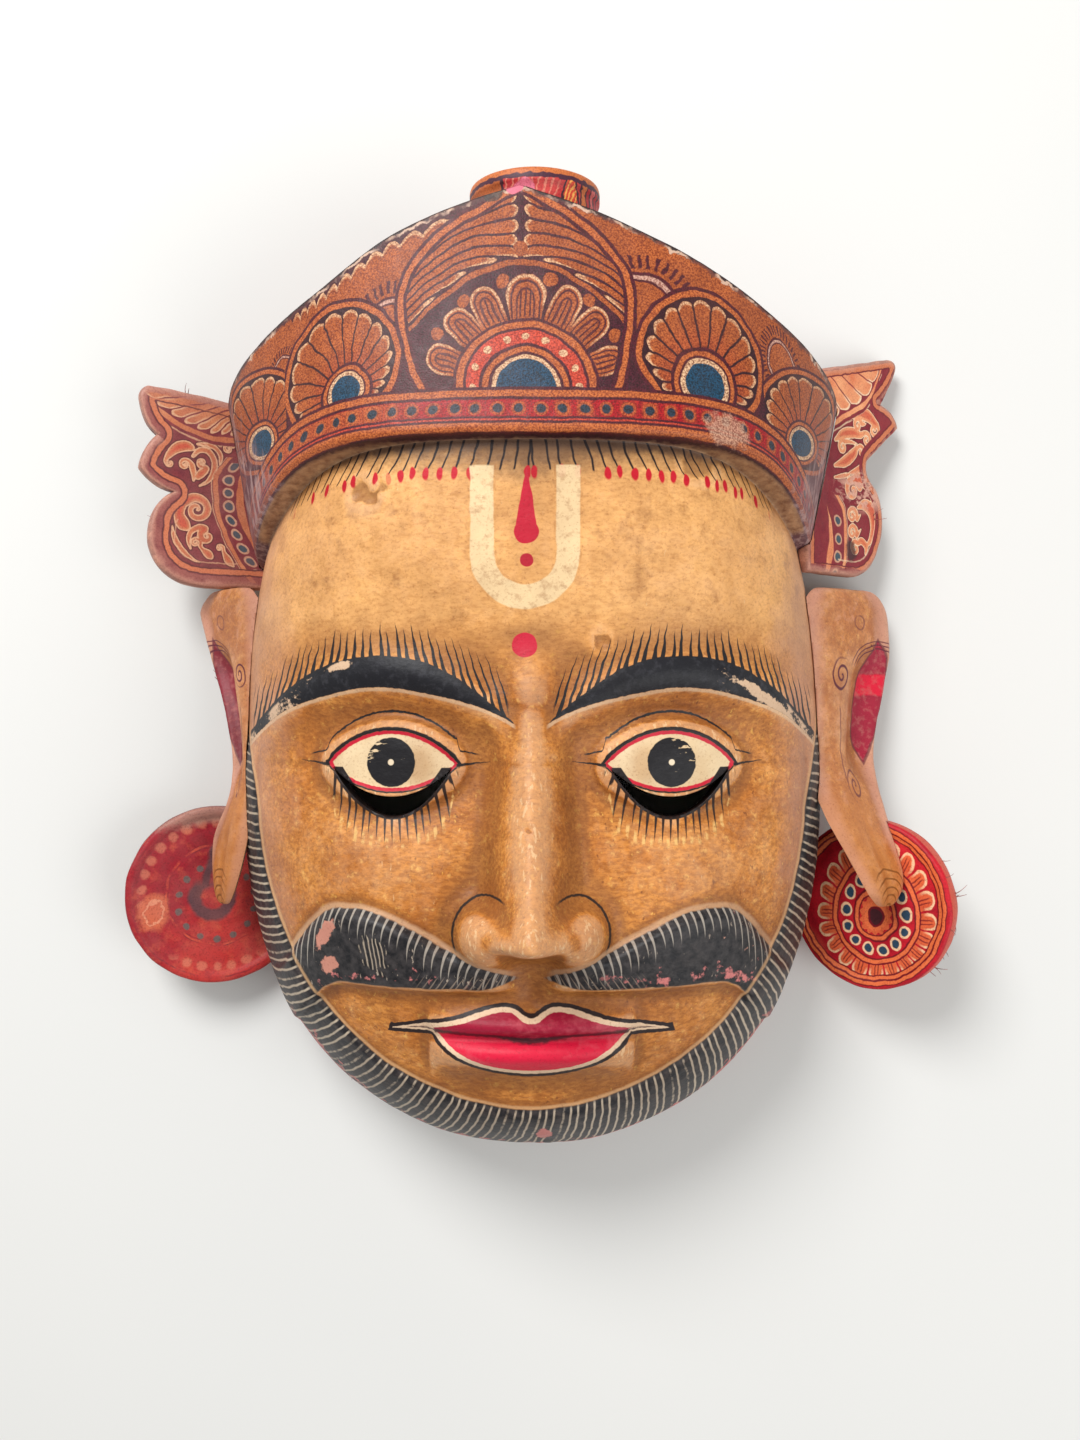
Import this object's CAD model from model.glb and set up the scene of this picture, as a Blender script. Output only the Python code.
"""A painted papier-mache mask of a crowned, bearded king, lying face up: the visual model."""

import math

import bpy
import numpy as np
from mathutils import Matrix, Vector, noise


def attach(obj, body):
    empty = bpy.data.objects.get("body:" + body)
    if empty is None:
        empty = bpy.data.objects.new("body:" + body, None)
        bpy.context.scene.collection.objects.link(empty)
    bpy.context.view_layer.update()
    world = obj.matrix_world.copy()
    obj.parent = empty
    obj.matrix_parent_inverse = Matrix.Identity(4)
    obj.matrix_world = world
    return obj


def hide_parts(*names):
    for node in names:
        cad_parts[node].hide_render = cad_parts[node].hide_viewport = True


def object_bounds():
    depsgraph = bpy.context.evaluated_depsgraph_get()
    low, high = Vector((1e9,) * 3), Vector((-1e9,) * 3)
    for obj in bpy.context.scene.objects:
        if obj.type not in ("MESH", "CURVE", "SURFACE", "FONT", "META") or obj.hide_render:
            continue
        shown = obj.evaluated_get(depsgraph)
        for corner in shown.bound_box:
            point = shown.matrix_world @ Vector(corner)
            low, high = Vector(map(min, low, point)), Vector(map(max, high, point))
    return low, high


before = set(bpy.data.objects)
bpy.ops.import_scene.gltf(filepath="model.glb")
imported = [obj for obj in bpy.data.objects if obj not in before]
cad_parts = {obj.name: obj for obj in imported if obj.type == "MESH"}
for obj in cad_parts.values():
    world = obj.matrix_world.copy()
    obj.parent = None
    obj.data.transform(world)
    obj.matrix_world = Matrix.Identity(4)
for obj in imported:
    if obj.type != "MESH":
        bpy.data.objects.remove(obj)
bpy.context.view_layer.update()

MM = 0.001  # in metres

# Driving dimensions in millimetres, the same as the solids have.
TOP, CHIN = 161.0, -161.0
WIDTH = 294.0
WALL = 5.0
GAP = 0.35
HEAD_HALF_WIDTH, HEAD_DEPTH, CHEEK_Y, HEAD_ROUNDNESS = 105.0, 86.0, -25.0, 2.35
TEMPLE_DRAW = 9.0
CROWN_ROUNDNESS = 2.5
CROWN_LOW = (99.5, 98.0)
CROWN_HIGH = (110.0, 90.0)
HAIRLINE, HAIRLINE_DROP, BAND_STEP = 75.2, 32.0, 1.5
PEAK, PEAK_X, CAP_RISE = 153.4, -3.5, 4.0
THIRD = (HAIRLINE - CHIN) / 3
BROW_Y = HAIRLINE - THIRD
NOSE_BASE_Y = BROW_Y - THIRD
MOUTH_Y = NOSE_BASE_Y - THIRD / 3
EYE_WIDTH = 2 * HEAD_HALF_WIDTH / 5 + 1.6
EYE_Y = BROW_Y - THIRD / 4
NOSE_OUT = 34.0
# How far round from the chin's rim to the crown's rim, 0 to 1, the hairline and the crown's edge are.
FACE_LEVEL, EDGE_LEVEL = 0.72, 0.88
LASHES_END = -54.0  # under it the lower face's paint begins
# A viewing slit: half its length, then its corners and its edges, up from the eye's middle.
SLIT = dict(half=19, corner=-1.5, upper=-10, lower=-16.5)
EYE_HALF = 21  # half the length of the opening between the lids
EVEN = 0.8  # how evenly the columns stand: the rest crowd towards the nose


# Curves and blends, on numbers or on arrays


def clamp(t):
    return np.clip(t, 0, 1)


def mix(a, b, t):
    return a + (b - a) * t


def smooth(start, end, t):
    s = clamp((t - start) / (end - start))
    return s * s * (3 - 2 * s)


def bell(t, width):
    return np.exp(-((t / width) ** 2))


def rough(points, scale, seed=0.0):
    """Smooth noise from -1 to 1 at points in mm, with features about scale mm across."""
    shift = Vector((seed, 2.3 * seed, -1.7 * seed))
    flat = np.asarray(points, float).reshape(-1, 3) / scale
    values = [noise.noise(Vector(p) + shift) for p in flat]
    return np.array(values).reshape(np.shape(points)[:-1])


# The mould: the head's plain egg, the crown and the relief of the face


def head_half_width(y):
    up = HEAD_HALF_WIDTH - TEMPLE_DRAW * ((y - CHEEK_Y) / 75) ** 2
    down = clamp((CHEEK_Y - y) / (CHEEK_Y - CHIN))
    return np.where(y > CHEEK_Y, up, HEAD_HALF_WIDTH * np.sqrt(1 - down**2.6))


def head_depth(y):
    down = clamp((-10 - y) / (-10 - CHIN))
    low = HEAD_DEPTH * (1 - down**4) ** (1 / 2.2)
    return np.where(y > -10, HEAD_DEPTH + 7 * smooth(-10, 50, y), low)


def hairline(x):
    return HAIRLINE - HAIRLINE_DROP * np.minimum(1, np.abs(x) / 100) ** 6


def crown_edge(x):
    away = np.abs(x - PEAK_X)
    slump = np.where(x < PEAK_X, 3.6 * smooth(40, 66, away), 0)
    return PEAK - 0.3 * away - 0.0016 * away**2 - slump


def section(angle, roundness):
    c, s = np.cos(angle), np.maximum(0, np.sin(angle))
    r = (np.abs(c) ** roundness + s**roundness) ** (-1 / roundness)
    return c * r, s * r


def nose(x, y):
    ax = np.abs(x)
    root = BROW_Y - 2
    t = clamp((root - y) / (root - NOSE_BASE_Y - 7))
    side = clamp(ax / mix(15, 20, t**2))
    ends = smooth(BROW_Y + 22, root, y) * smooth(NOSE_BASE_Y - 3, NOSE_BASE_Y + 7, y)
    bridge = mix(6, NOSE_OUT - 5, t) * (0.5 + 0.5 * np.cos(math.pi * side)) * ends
    tip = 6 * bell(x, 10) * bell(y - NOSE_BASE_Y - 9, 9) * ends
    nostril = -2.5 * bell(ax - 7.5, 3.2) * bell(y - NOSE_BASE_Y - 1.5, 2.6)
    around = ((ax - 13.5) / 9) ** 2 + ((y - NOSE_BASE_Y - 6.5) / 10) ** 2
    return np.hypot(bridge + tip, 16 * np.exp(-(around**1.6))) + nostril


def brow_line(ax):
    return BROW_Y - 6 + 14 * (1 - ((ax - 48) / 40) ** 2)


def lid(ax, y):
    """Height in mm over the upper lid's edge, and under the lower one's, at the eye opening."""
    across = clamp(1 - ((ax - EYE_WIDTH) / EYE_HALF) ** 2) ** 0.85
    return y - EYE_Y - 10.5 * across, EYE_Y - 8.5 * across - y


def eye_relief(ax, y):
    ball = clamp(1 - ((ax - EYE_WIDTH) / 25) ** 2 - ((y - EYE_Y) / 15.5) ** 2)
    over, under = lid(ax, y)
    opening = -1.1 * smooth(0.6, -0.6, np.maximum(over, under))
    fold = -0.7 * bell(over - 5.5, 1.3) * smooth(24, 16, np.abs(ax - EYE_WIDTH))
    return 9 * ball**0.7 + opening + fold


def moustache_line(ax):
    return NOSE_BASE_Y - 8 + 9 * smooth(8, 56, ax) - 26 * smooth(60, 92, ax)


def moustache_half(ax):
    return 3 + 9 * smooth(6, 56, ax)


def moustache(ax, y):
    half = moustache_half(ax)
    off = np.abs(y - moustache_line(ax))
    return 4 * smooth(half + 2, half - 2, off) * smooth(3, 12, ax) * smooth(93, 80, ax)


def lips(ax, y):
    along = np.sqrt(clamp(1 - (ax / 33) ** 2))
    upper = 6.5 * bell(y - MOUTH_Y - 4, 4.5)
    lower = 8 * bell(y - MOUTH_Y + 6, 6)
    parting = -3 * bell(y - MOUTH_Y, 2) - 1.4 * bell(y - MOUTH_Y, 0.7)
    philtrum = -1.3 * bell(ax, 3.2) * bell(y - MOUTH_Y - 15, 6)
    return (upper + lower + parting) * along + philtrum


BEARD_REACH, BEARD_Y = (95, 107), -30


def beard_ellipse(ax, y):
    return (ax / BEARD_REACH[0]) ** 2 + ((y - BEARD_Y) / BEARD_REACH[1]) ** 2


def beard(ax, y):
    return 2 * smooth(0.93, 1.0, beard_ellipse(ax, y)) * smooth(-10, -30, y)


def socket(ax, y):
    return -7 * bell(ax - EYE_WIDTH, 28) * bell(y - EYE_Y + 1, 17)


def relief(x, y, fine):
    ax = np.abs(x)
    brow = 4 * bell(y - brow_line(ax), 8) * smooth(4, 14, ax) * smooth(92, 80, ax)
    cheek = 4 * bell(ax - 50, 26) * bell(y - NOSE_BASE_Y - 18, 26)
    chin = 5 * bell(x, 24) * bell(y - CHIN - 22, 14)
    broad = nose(x, y) + brow + cheek + chin + socket(ax, y)
    return broad + eye_relief(ax, y) + moustache(ax, y) + lips(ax, y) + beard(ax, y) if fine else broad


def mould(angle, level, fine):
    """Points of the shell's outer surface: an array of angles and one of levels give (..., 3)."""
    c_crown, s_crown = section(angle, CROWN_ROUNDNESS)
    edge = crown_edge(CROWN_HIGH[0] * c_crown)
    low = hairline(CROWN_LOW[0] * c_crown)
    face = mix(CHIN, low, clamp(level / FACE_LEVEL) ** 1.35)
    crown = mix(low, edge, clamp((level - FACE_LEVEL) / (EDGE_LEVEL - FACE_LEVEL)))
    y = np.where(level < FACE_LEVEL, face, crown)
    c_head, s_head = section(angle, HEAD_ROUNDNESS)
    up = clamp((y - low) / (edge - low))
    band = smooth(low, low + BAND_STEP, y) if fine else smooth(low - 15, low + 15, y)
    x = mix(head_half_width(y) * c_head, mix(CROWN_LOW[0], CROWN_HIGH[0], up) * c_crown, band)
    z = mix(head_depth(y) * s_head, mix(CROWN_LOW[1], CROWN_HIGH[1], up) * s_crown, band)
    z = z + relief(x, y, fine) * smooth(4, 40, z) * (1 - band)
    back = np.sin(clamp((1 - level) / (1 - EDGE_LEVEL)) * math.pi / 2)
    on_top = level > EDGE_LEVEL
    top_x = CROWN_HIGH[0] * back * c_crown
    x = np.where(on_top, top_x, x)
    y = np.where(on_top, crown_edge(top_x) + CAP_RISE * (1 - back**2), y)
    z = np.where(on_top, CROWN_HIGH[1] * back * s_crown, z)
    return np.stack([x, y, z], -1)


def lining(angle, level):
    """The same surface without its fine relief, moved inwards by the wall."""
    step = 2e-3
    here = mould(angle, level, False)
    round_ = mould(angle + step, level, False) - mould(angle - step, level, False)
    rise = mould(angle, clamp(level + step), False) - mould(angle, clamp(level - step), False)
    inward = np.cross(round_, rise)
    inward *= WALL / np.maximum(1e-9, np.linalg.norm(inward, axis=-1, keepdims=True))
    inside = here + inward
    on_rim = (angle < 1e-6) | (angle > math.pi - 1e-6)
    inside[..., 2] = np.where(on_rim, 0, np.maximum(0, inside[..., 2]))
    return inside


def face_level(y):
    return FACE_LEVEL * clamp((y - CHIN) / (HAIRLINE - CHIN)) ** (1 / 1.35)


def angles(columns):
    q = np.linspace(-1, 1, columns + 1)
    return math.pi / 2 * (1 + q * (EVEN + (1 - EVEN) * q * q))


# Meshes


def new_piece(name, points, faces, materials, slots=None, flat=False):
    """A mesh object from points in mm."""
    mesh = bpy.data.meshes.new(name)
    mesh.from_pydata((np.asarray(points, float) * MM).tolist(), [], faces)
    for material in materials:
        mesh.materials.append(material)
    if slots is not None:
        mesh.polygons.foreach_set("material_index", np.asarray(slots, dtype=np.int32))
    mesh.polygons.foreach_set("use_smooth", [not flat] * len(mesh.polygons))
    mesh.update()
    piece = bpy.data.objects.new(name, mesh)
    bpy.context.scene.collection.objects.link(piece)
    return piece


def positions(piece):
    """A piece's points, in mm."""
    flat = np.empty(3 * len(piece.data.vertices))
    piece.data.vertices.foreach_get("co", flat)
    return flat.reshape(-1, 3) / MM


def set_positions(piece, points):
    piece.data.vertices.foreach_set("co", (np.asarray(points) * MM).ravel())
    piece.data.update()


def normals(piece):
    flat = np.empty(3 * len(piece.data.vertices))
    piece.data.vertices.foreach_get("normal", flat)
    return flat.reshape(-1, 3)


def guide(piece, name, *columns):
    """Stores up to three numbers on each point, for the paint to follow."""
    columns = [np.asarray(c, float) for c in columns] + [np.zeros(len(columns[0]))] * (3 - len(columns))
    layer = piece.data.attributes.new(name, "FLOAT_VECTOR", "POINT")
    layer.data.foreach_set("vector", np.stack(columns, -1).astype(np.float32).ravel())


def grid_faces(rows, columns, start=0):
    r, c = np.meshgrid(np.arange(rows - 1), np.arange(columns - 1), indexing="ij")
    a = start + r * columns + c
    return np.stack([a, a + columns, a + columns + 1, a + 1], -1).reshape(-1, 4)


def tube_faces(rings, around, start=0):
    """Quads between closed rings of points, each the same number around."""
    faces = []
    for a in range(start, start + (rings - 1) * around, around):
        b = a + around
        faces += [[a + i, b + i, b + (i + 1) % around, a + (i + 1) % around] for i in range(around)]
    return faces


def cut(piece, cutter):
    """Takes one closed mesh away from another."""
    modifier = piece.modifiers.new("cut", "BOOLEAN")
    modifier.object, modifier.solver = cutter, "MANIFOLD"
    depsgraph = bpy.context.evaluated_depsgraph_get()
    mesh = bpy.data.meshes.new_from_object(piece.evaluated_get(depsgraph))
    piece.modifiers.clear()
    piece.data = mesh


# Pieces


def shell_levels():
    """Rows of the shell: finest at the nose, the lips and the eyes, and across the band's lower step."""
    rows, y = [], CHIN + 0.6
    while y < HAIRLINE - 1:
        rows.append(float(face_level(y)))
        crowd = 1 + 0.6 * bell(y - CHIN, 14) + bell(y - NOSE_BASE_Y, 12)
        crowd += 0.5 * bell(y - MOUTH_Y, 18) + 0.5 * bell(y - EYE_Y, 20)
        y += 1.75 / crowd
    rows += [FACE_LEVEL + 0.0032 * t for t in (-0.4, 0, 0.25, 0.5, 0.75, 1)]
    rows += list(np.linspace(FACE_LEVEL + 0.0075, EDGE_LEVEL - 0.001, 44)) + [EDGE_LEVEL]
    return np.array(rows + [EDGE_LEVEL + 0.001] + list(np.linspace(EDGE_LEVEL + 0.008, 0.995, 18)))


# Places where the paper is broken: x, y, radius and depth in mm.
CRATERS = [(-53, 61, 3.4, 1.4), (-49, 59, 2.0, 1.8), (-46, 62, 1.5, 1.2), (22, 14, 2.2, 1.3)]
CRATERS += [(-1, -42, 1.5, 1.3), (4, -150, 3.0, 0.8), (52, 70, 5.0, 0.5)]


def handmade(points, out):
    """The unevenness of pasted paper: out is the outward normals."""
    ragged_rim = 0.7 * rough(points, 2.6, 13) * smooth(2.5, 0, points[:, 2])
    lift = 0.45 * rough(points, 31, 3) + 0.16 * rough(points, 9, 5) + 0.06 * rough(points, 3.1, 8)
    for x, y, radius, depth in CRATERS:
        near = np.hypot(points[:, 0] - x, points[:, 1] - y) / radius
        ragged = near + 0.35 * rough(points, 2.2, 11)
        lift -= depth * smooth(1.15, 0.55, ragged) - 0.25 * bell(ragged - 1.3, 0.25)
    flat_out = out * [1, 1, 0]
    return points + out * (lift * smooth(0, 12, points[:, 2]))[:, None] + flat_out * ragged_rim[:, None]


def closed_shell(outer, inner):
    """Points and faces of a shell from an outer and an inner grid, (rows, columns, 3), poles last."""
    points, faces, rims = [], [], []
    for grid, pole_low, pole_high, outward in (outer, inner):
        rows, columns = grid.shape[:2]
        start = len(points)
        points += grid.reshape(-1, 3).tolist() + [pole_low, pole_high]
        low, high = start + rows * columns, start + rows * columns + 1
        quads = grid_faces(rows, columns, start).tolist()
        last = start + (rows - 1) * columns
        fans = [[low, start + c, start + c + 1] for c in range(columns - 1)]
        fans += [[last + c, high, last + c + 1] for c in range(columns - 1)]
        faces += [f if outward else f[::-1] for f in quads + fans]
        edges = (range(start + c, start + c + rows * columns, columns) for c in (0, columns - 1))
        rims.append([[low, *edge, high] for edge in edges])
    # The rim: a strip of triangles up each side, from one grid's edge to the other's.
    for out, into, way in zip(*rims, (1, -1)):
        o, i = 0, 0
        while o + 1 < len(out) or i + 1 < len(into):
            next_o = points[out[o + 1]][1] if o + 1 < len(out) else math.inf
            next_i = points[into[i + 1]][1] if i + 1 < len(into) else math.inf
            step_out = next_o <= next_i
            faces.append([out[o], into[i], out[o + 1] if step_out else into[i + 1]][::way])
            o, i = (o + 1, i) if step_out else (o, i + 1)
    return points, faces


def slit_cutter(side):
    """A viewing slit's opening: two curves between its corners, drawn out along Z."""
    left, right = ((way * SLIT["half"], SLIT["corner"]) for way in (-1, 1))
    loop = []
    for start, height, end in ((left, SLIT["upper"], right), (right, SLIT["lower"], left)):
        for t in np.linspace(0, 1, 28, endpoint=False):
            control = (0, 2 * height - SLIT["corner"])
            weights = (1 - t) ** 2, 2 * t * (1 - t), t * t
            x, y = (sum(w * p for w, p in zip(weights, axis)) for axis in zip(start, control, end))
            loop.append([side * EYE_WIDTH + x, EYE_Y + y])
    n = len(loop)
    points = [[x, y, z] for z in (40, 130) for x, y in loop]
    faces = [list(range(n)), list(range(2 * n - 1, n - 1, -1))]
    faces += [[i, n + i, n + (i + 1) % n, (i + 1) % n] for i in range(n)]
    return new_piece(f"slit_cutter_{side}", points, faces, [], flat=True)


# The shell's materials, in order.
UPPER_FACE, CROWN, CAP, BARE, LOWER_FACE = range(5)


def make_shell(materials):
    columns, levels = angles(232), shell_levels()
    a, v = np.meshgrid(columns, levels)
    outer = mould(a, v, True)
    inner = lining(*np.meshgrid(angles(64), np.linspace(0.03, 0.975, 84)))
    crown_top = float(crown_edge(0)) + CAP_RISE
    points, faces = closed_shell(
        (outer, [0, CHIN, 0], [0, crown_top, 0], True),
        (inner, [0, CHIN + WALL, 0], [0, crown_top - WALL, 0], False),
    )
    # Which material each row has, then the fans of triangles at the chin and at the top
    row = (levels[1:] + levels[:-1]) / 2
    limits = [row < face_level(LASHES_END), row < FACE_LEVEL, row < EDGE_LEVEL]
    chosen = [*np.select(limits, [LOWER_FACE, UPPER_FACE, CROWN], CAP), LOWER_FACE, CAP]
    slots = np.full(len(faces), BARE)
    slots[: len(chosen) * (len(columns) - 1)] = np.repeat(chosen, len(columns) - 1)
    piece = new_piece("painted_shell", points, faces, materials, slots)
    moved = positions(piece)
    count = outer.shape[0] * outer.shape[1]
    moved[:count] = handmade(moved[:count], normals(piece)[:count])
    inside = moved[count + 2 :]
    inside[:, 2] += 0.5 * rough(inside, 12, 2) * (inside[:, 2] > 3)
    set_positions(piece, moved)
    for side in (-1, 1):
        cutter = slit_cutter(side)
        cut(piece, cutter)
        bpy.data.objects.remove(cutter)
    paint_guides(piece)
    return piece


def steady(field, x, y):
    """A field of x and y turned into a distance in mm from where it is 0, by its slope."""
    e = 0.25
    here = field(x, y)
    slope_x = (field(x + e, y) - field(x - e, y)) / (2 * e)
    slope_y = (field(x, y + e) - field(x, y - e)) / (2 * e)
    return here / np.maximum(0.6, np.hypot(slope_x, slope_y))


def brow_half(ax):
    return 4.9 * smooth(3, 36, ax) ** 0.8 * (1 - 0.6 * smooth(60, 96, ax))


def brow_over(x, y):
    return y - brow_line(np.abs(x)) - 1 - brow_half(np.abs(x))


def brow_under(x, y):
    return brow_line(np.abs(x)) + 1 - brow_half(np.abs(x)) - y


def lid_edge(x, y):
    beyond = np.maximum(0, np.abs(np.abs(x) - EYE_WIDTH) - EYE_HALF)
    out = np.maximum(*lid(np.abs(x), y))
    return np.hypot(np.maximum(0, out), beyond) + np.minimum(0, out)


def lid_over(x, y):
    return lid(np.abs(x), y)[0]


def slit_under(x, y):
    across = (np.abs(x) - EYE_WIDTH) / SLIT["half"]
    return EYE_Y + SLIT["corner"] - (SLIT["corner"] - SLIT["lower"]) * clamp(1 - across**2) - y


def lip_over(x, y):
    ax = np.abs(x)
    bow = 9.0 * clamp(1 - ax / 46) ** 0.9 * (1 + 0.25 * bell(ax - 12, 10)) - 3.6 * bell(ax, 4.5)
    return y - MOUTH_Y - 1 - bow + 2.5 * np.maximum(0, ax - 44)


def lip_under(x, y):
    return MOUTH_Y + 1.4 - 13.6 * clamp(1 - (np.abs(x) / 31) ** 2) ** 0.75 - y


def lip_parting(x, y):
    return y - MOUTH_Y - 0.4 - 1.4 * smooth(4, 34, np.abs(x)) + 1.4 * bell(x, 7)


def moustache_over(x, y):
    ax = np.abs(x)
    return y - moustache_line(ax) - moustache_half(ax) * smooth(1, 16, ax) - 1


def moustache_under(x, y):
    ax = np.abs(x)
    return moustache_line(ax) - moustache_half(ax) * smooth(1, 16, ax) + 1 - y


def beard_inside(x, y):
    """Distance from the beard's inner edge, growing towards the rim."""
    out = (np.sqrt(beard_ellipse(np.abs(x), y)) - 0.975) * BEARD_REACH[0]
    return out - 12 * smooth(-40, 10, y) - 2 * np.maximum(0, y - 4)


def wing_of_nose(x, y):
    ax = np.abs(x)
    return (np.hypot((ax - 12.5) / 10.5, (y - NOSE_BASE_Y - 7) / 11.5) - 1) * 11


FULL_BULGE = 0.12  # mm


def hollows(piece, rounds=6):
    """How much each point sinks (-) or stands out (+) from what is round it, in about -1 to 1."""
    mesh = piece.data
    edges = np.empty(2 * len(mesh.edges), dtype=np.int32)
    mesh.edges.foreach_get("vertices", edges)
    a, b = edges.reshape(-1, 2).T
    count = np.maximum(1, np.bincount(edges, minlength=len(mesh.vertices)))

    def settled(values, times):
        """Values on the points, each moved half way to the mean of its neighbours."""
        for _ in range(times):
            total = np.zeros_like(values)
            np.add.at(total, a, values[b])
            np.add.at(total, b, values[a])
            values = 0.5 * values + 0.5 * (total.T / count).T
        return values

    points = positions(piece)
    bulge = ((points - settled(points, rounds)) * normals(piece)).sum(1)
    return np.clip(settled(bulge, 2) / FULL_BULGE, -2, 2)


def paint_guides(piece):
    """What the paint on the shell follows, from the shapes of the mould."""
    x, y, z = positions(piece).T
    side = np.where(x < 0, -1.0, 1.0)
    along = np.interp(np.arctan2(z / MEAN_CROWN[1], x / MEAN_CROWN[0]), *crown_arc())
    guide(piece, "crown", along, y - hairline(x), crown_edge(x) - y)
    guide(piece, "brow", np.abs(x), steady(brow_over, x, y), steady(brow_under, x, y))
    guide(piece, "eye", np.abs(x) - EYE_WIDTH, y - EYE_Y, steady(lid_edge, x, y))
    guide(piece, "lash", steady(lid_over, x, y), steady(slit_under, x, y), side)
    guide(piece, "lip", steady(lip_over, x, y), steady(lip_under, x, y), lip_parting(x, y))
    guide(piece, "moustache", np.abs(x), steady(moustache_over, x, y), steady(moustache_under, x, y))
    turn = np.arctan2(x / BEARD_REACH[0], -(y - BEARD_Y) / BEARD_REACH[1])
    guide(piece, "beard", turn * 98, steady(beard_inside, x, y), z)
    guide(piece, "nostril", steady(wing_of_nose, x, y), along, hollows(piece))


def ribbon_field(points, ribbons):
    """For scrollwork: how far inside the nearest ribbon each point is, and how far along it, 0 to 1.

    A ribbon is a list of (u, v, half width) that it runs through, smoothly."""
    inside, along = np.full(len(points), -9.0), np.zeros(len(points))
    for ribbon in ribbons:
        knots = np.array(ribbon, float)
        t = np.linspace(0, len(knots) - 1, 14 * len(knots))
        k = np.clip(t.astype(int), 0, len(knots) - 2)
        f = (t - k)[:, None]
        padded = np.vstack([2 * knots[0] - knots[1], knots, 2 * knots[-1] - knots[-2]])
        a, b, c, d = padded[k], padded[k + 1], padded[k + 2], padded[k + 3]
        path = 2 * b + (c - a) * f + (2 * a - 5 * b + 4 * c - d) * f**2 + (3 * b - a - 3 * c + d) * f**3
        path *= 0.5
        depth = path[:, 2] - np.hypot(*(points[:, None, :2] - path[None, :, :2]).transpose(2, 0, 1))
        best = depth.argmax(1)
        found = depth[np.arange(len(points)), best]
        nearer = found > inside
        inside[nearer] = found[nearer]
        along[nearer] = best[nearer] / (len(path) - 1)
    return inside, along


def curl(u, v, radius, start, turns, wide, narrow):
    """A ribbon that winds in to (u, v): from an angle in degrees, with its wide end first."""
    steps = max(5, int(abs(turns) * 9))
    knots = []
    for i in range(steps + 1):
        t = i / steps
        angle = math.radians(start + 360 * turns * t)
        r = radius * (1 - t) ** 0.9 + 0.25 * narrow
        knots.append((u + r * math.cos(angle), v + r * math.sin(angle), mix(wide, narrow, t)))
    return knots


MEAN_CROWN = (104.0, 94.0)


def crown_arc():
    """Angles round the crown, and the arc length there, 0 at the front and growing to the right."""
    turn = np.linspace(0, math.pi, 721)
    c, s = section(turn, CROWN_ROUNDNESS)
    x, z = MEAN_CROWN[0] * c, MEAN_CROWN[1] * s
    arc = np.concatenate([[0], np.cumsum(np.hypot(np.diff(x), np.diff(z)))])
    return np.arctan2(s, c), arc[-1] / 2 - arc


def head_block(grow):
    """The space inside the shell's outer surface, for trimming the pieces pasted on it."""
    columns = angles(96)
    levels = np.concatenate([np.linspace(0.01, FACE_LEVEL, 90), np.linspace(FACE_LEVEL + 0.004, 0.99, 50)])
    grid = mould(*np.meshgrid(columns, levels), True)
    flat = grid.reshape(-1, 3)
    rows, wide = grid.shape[:2]
    poles = [[0, CHIN, 0], [0, float(crown_edge(0)) + CAP_RISE, 0], [0, 0, -1]]
    points = flat.tolist() + poles
    low, high, centre = len(flat), len(flat) + 1, len(flat) + 2
    faces = grid_faces(rows, wide).tolist()
    faces += [[low, c, c + 1] for c in range(wide - 1)]
    faces += [[(rows - 1) * wide + c, high, (rows - 1) * wide + c + 1] for c in range(wide - 1)]
    right = [r * wide for r in range(rows)]
    left = [r * wide + wide - 1 for r in range(rows)]
    ring = [low, *right, high, *left[::-1]]
    faces += [[p, centre, q] for p, q in zip(ring, ring[1:] + ring[:1])]
    block = new_piece("head_block", points, faces, [])
    grown = positions(block) + normals(block) * grow
    grown[ring + [centre], 2] = -1
    set_positions(block, grown)
    return block


def lathe(name, profile, around, materials, slots=None):
    """A closed solid of revolution about Y from (radius, height) pairs, the first and last on the axis."""
    inner = profile[1:-1]
    points = [[0, profile[0][1], 0], [0, profile[-1][1], 0]]
    for radius, height in inner:
        for i in range(around):
            t = 2 * math.pi * i / around
            points.append([radius * math.sin(t), height, radius * math.cos(t)])
    rows = len(inner)
    faces, bands = [], []
    for i in range(around):
        j = (i + 1) % around
        faces.append([0, 2 + j, 2 + i])
        faces.append([1, 2 + (rows - 1) * around + i, 2 + (rows - 1) * around + j])
        bands += [0, rows]
        for r in range(rows - 1):
            a, b = 2 + r * around, 2 + (r + 1) * around
            faces.append([a + i, a + j, b + j, b + i])
            bands.append(r + 1)
    chosen = [slots[b] for b in bands] if slots else None
    return new_piece(name, points, faces, materials, chosen)


def turned(points, angle, axis):
    """Points turned about X, Y or Z by the right-hand rule."""
    return points @ np.array(Matrix.Rotation(angle, 3, axis)).T


DRUM_PLACE = (1, 0, 65)


def make_drum(materials, block):
    radius, rim = 20.4, 0.7
    low = PEAK - 22
    profile = [(0, low), (radius, low)]
    profile += [(radius + 0.1 * math.sin(t), y) for t, y in enumerate(np.linspace(low + 2, TOP - 4.9, 12))]
    profile += [(radius + rim * 0.8, TOP - 4.4), (radius + rim, TOP - 3.8), (radius + rim, TOP - 1.2)]
    profile += [(radius + rim * 0.6, TOP - 0.4), (radius - 0.4, TOP), (radius - 3, TOP - 0.3)]
    profile += [(r, TOP - 0.5) for r in np.linspace(radius - 5, 2, 7)] + [(0, TOP - 0.5)]
    piece = lathe("crest", profile, 96, materials)
    points = positions(piece)
    points[:, :2] += (0.25 * rough(points, 9, 4) * (points[:, 1] < TOP - 1))[:, None]
    set_positions(piece, points + DRUM_PLACE)
    cut(piece, block)
    x, y, z = (positions(piece) - DRUM_PLACE).T
    guide(piece, "turn", np.arctan2(x, z) * radius, TOP - y, np.hypot(x, z))
    return piece


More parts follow.
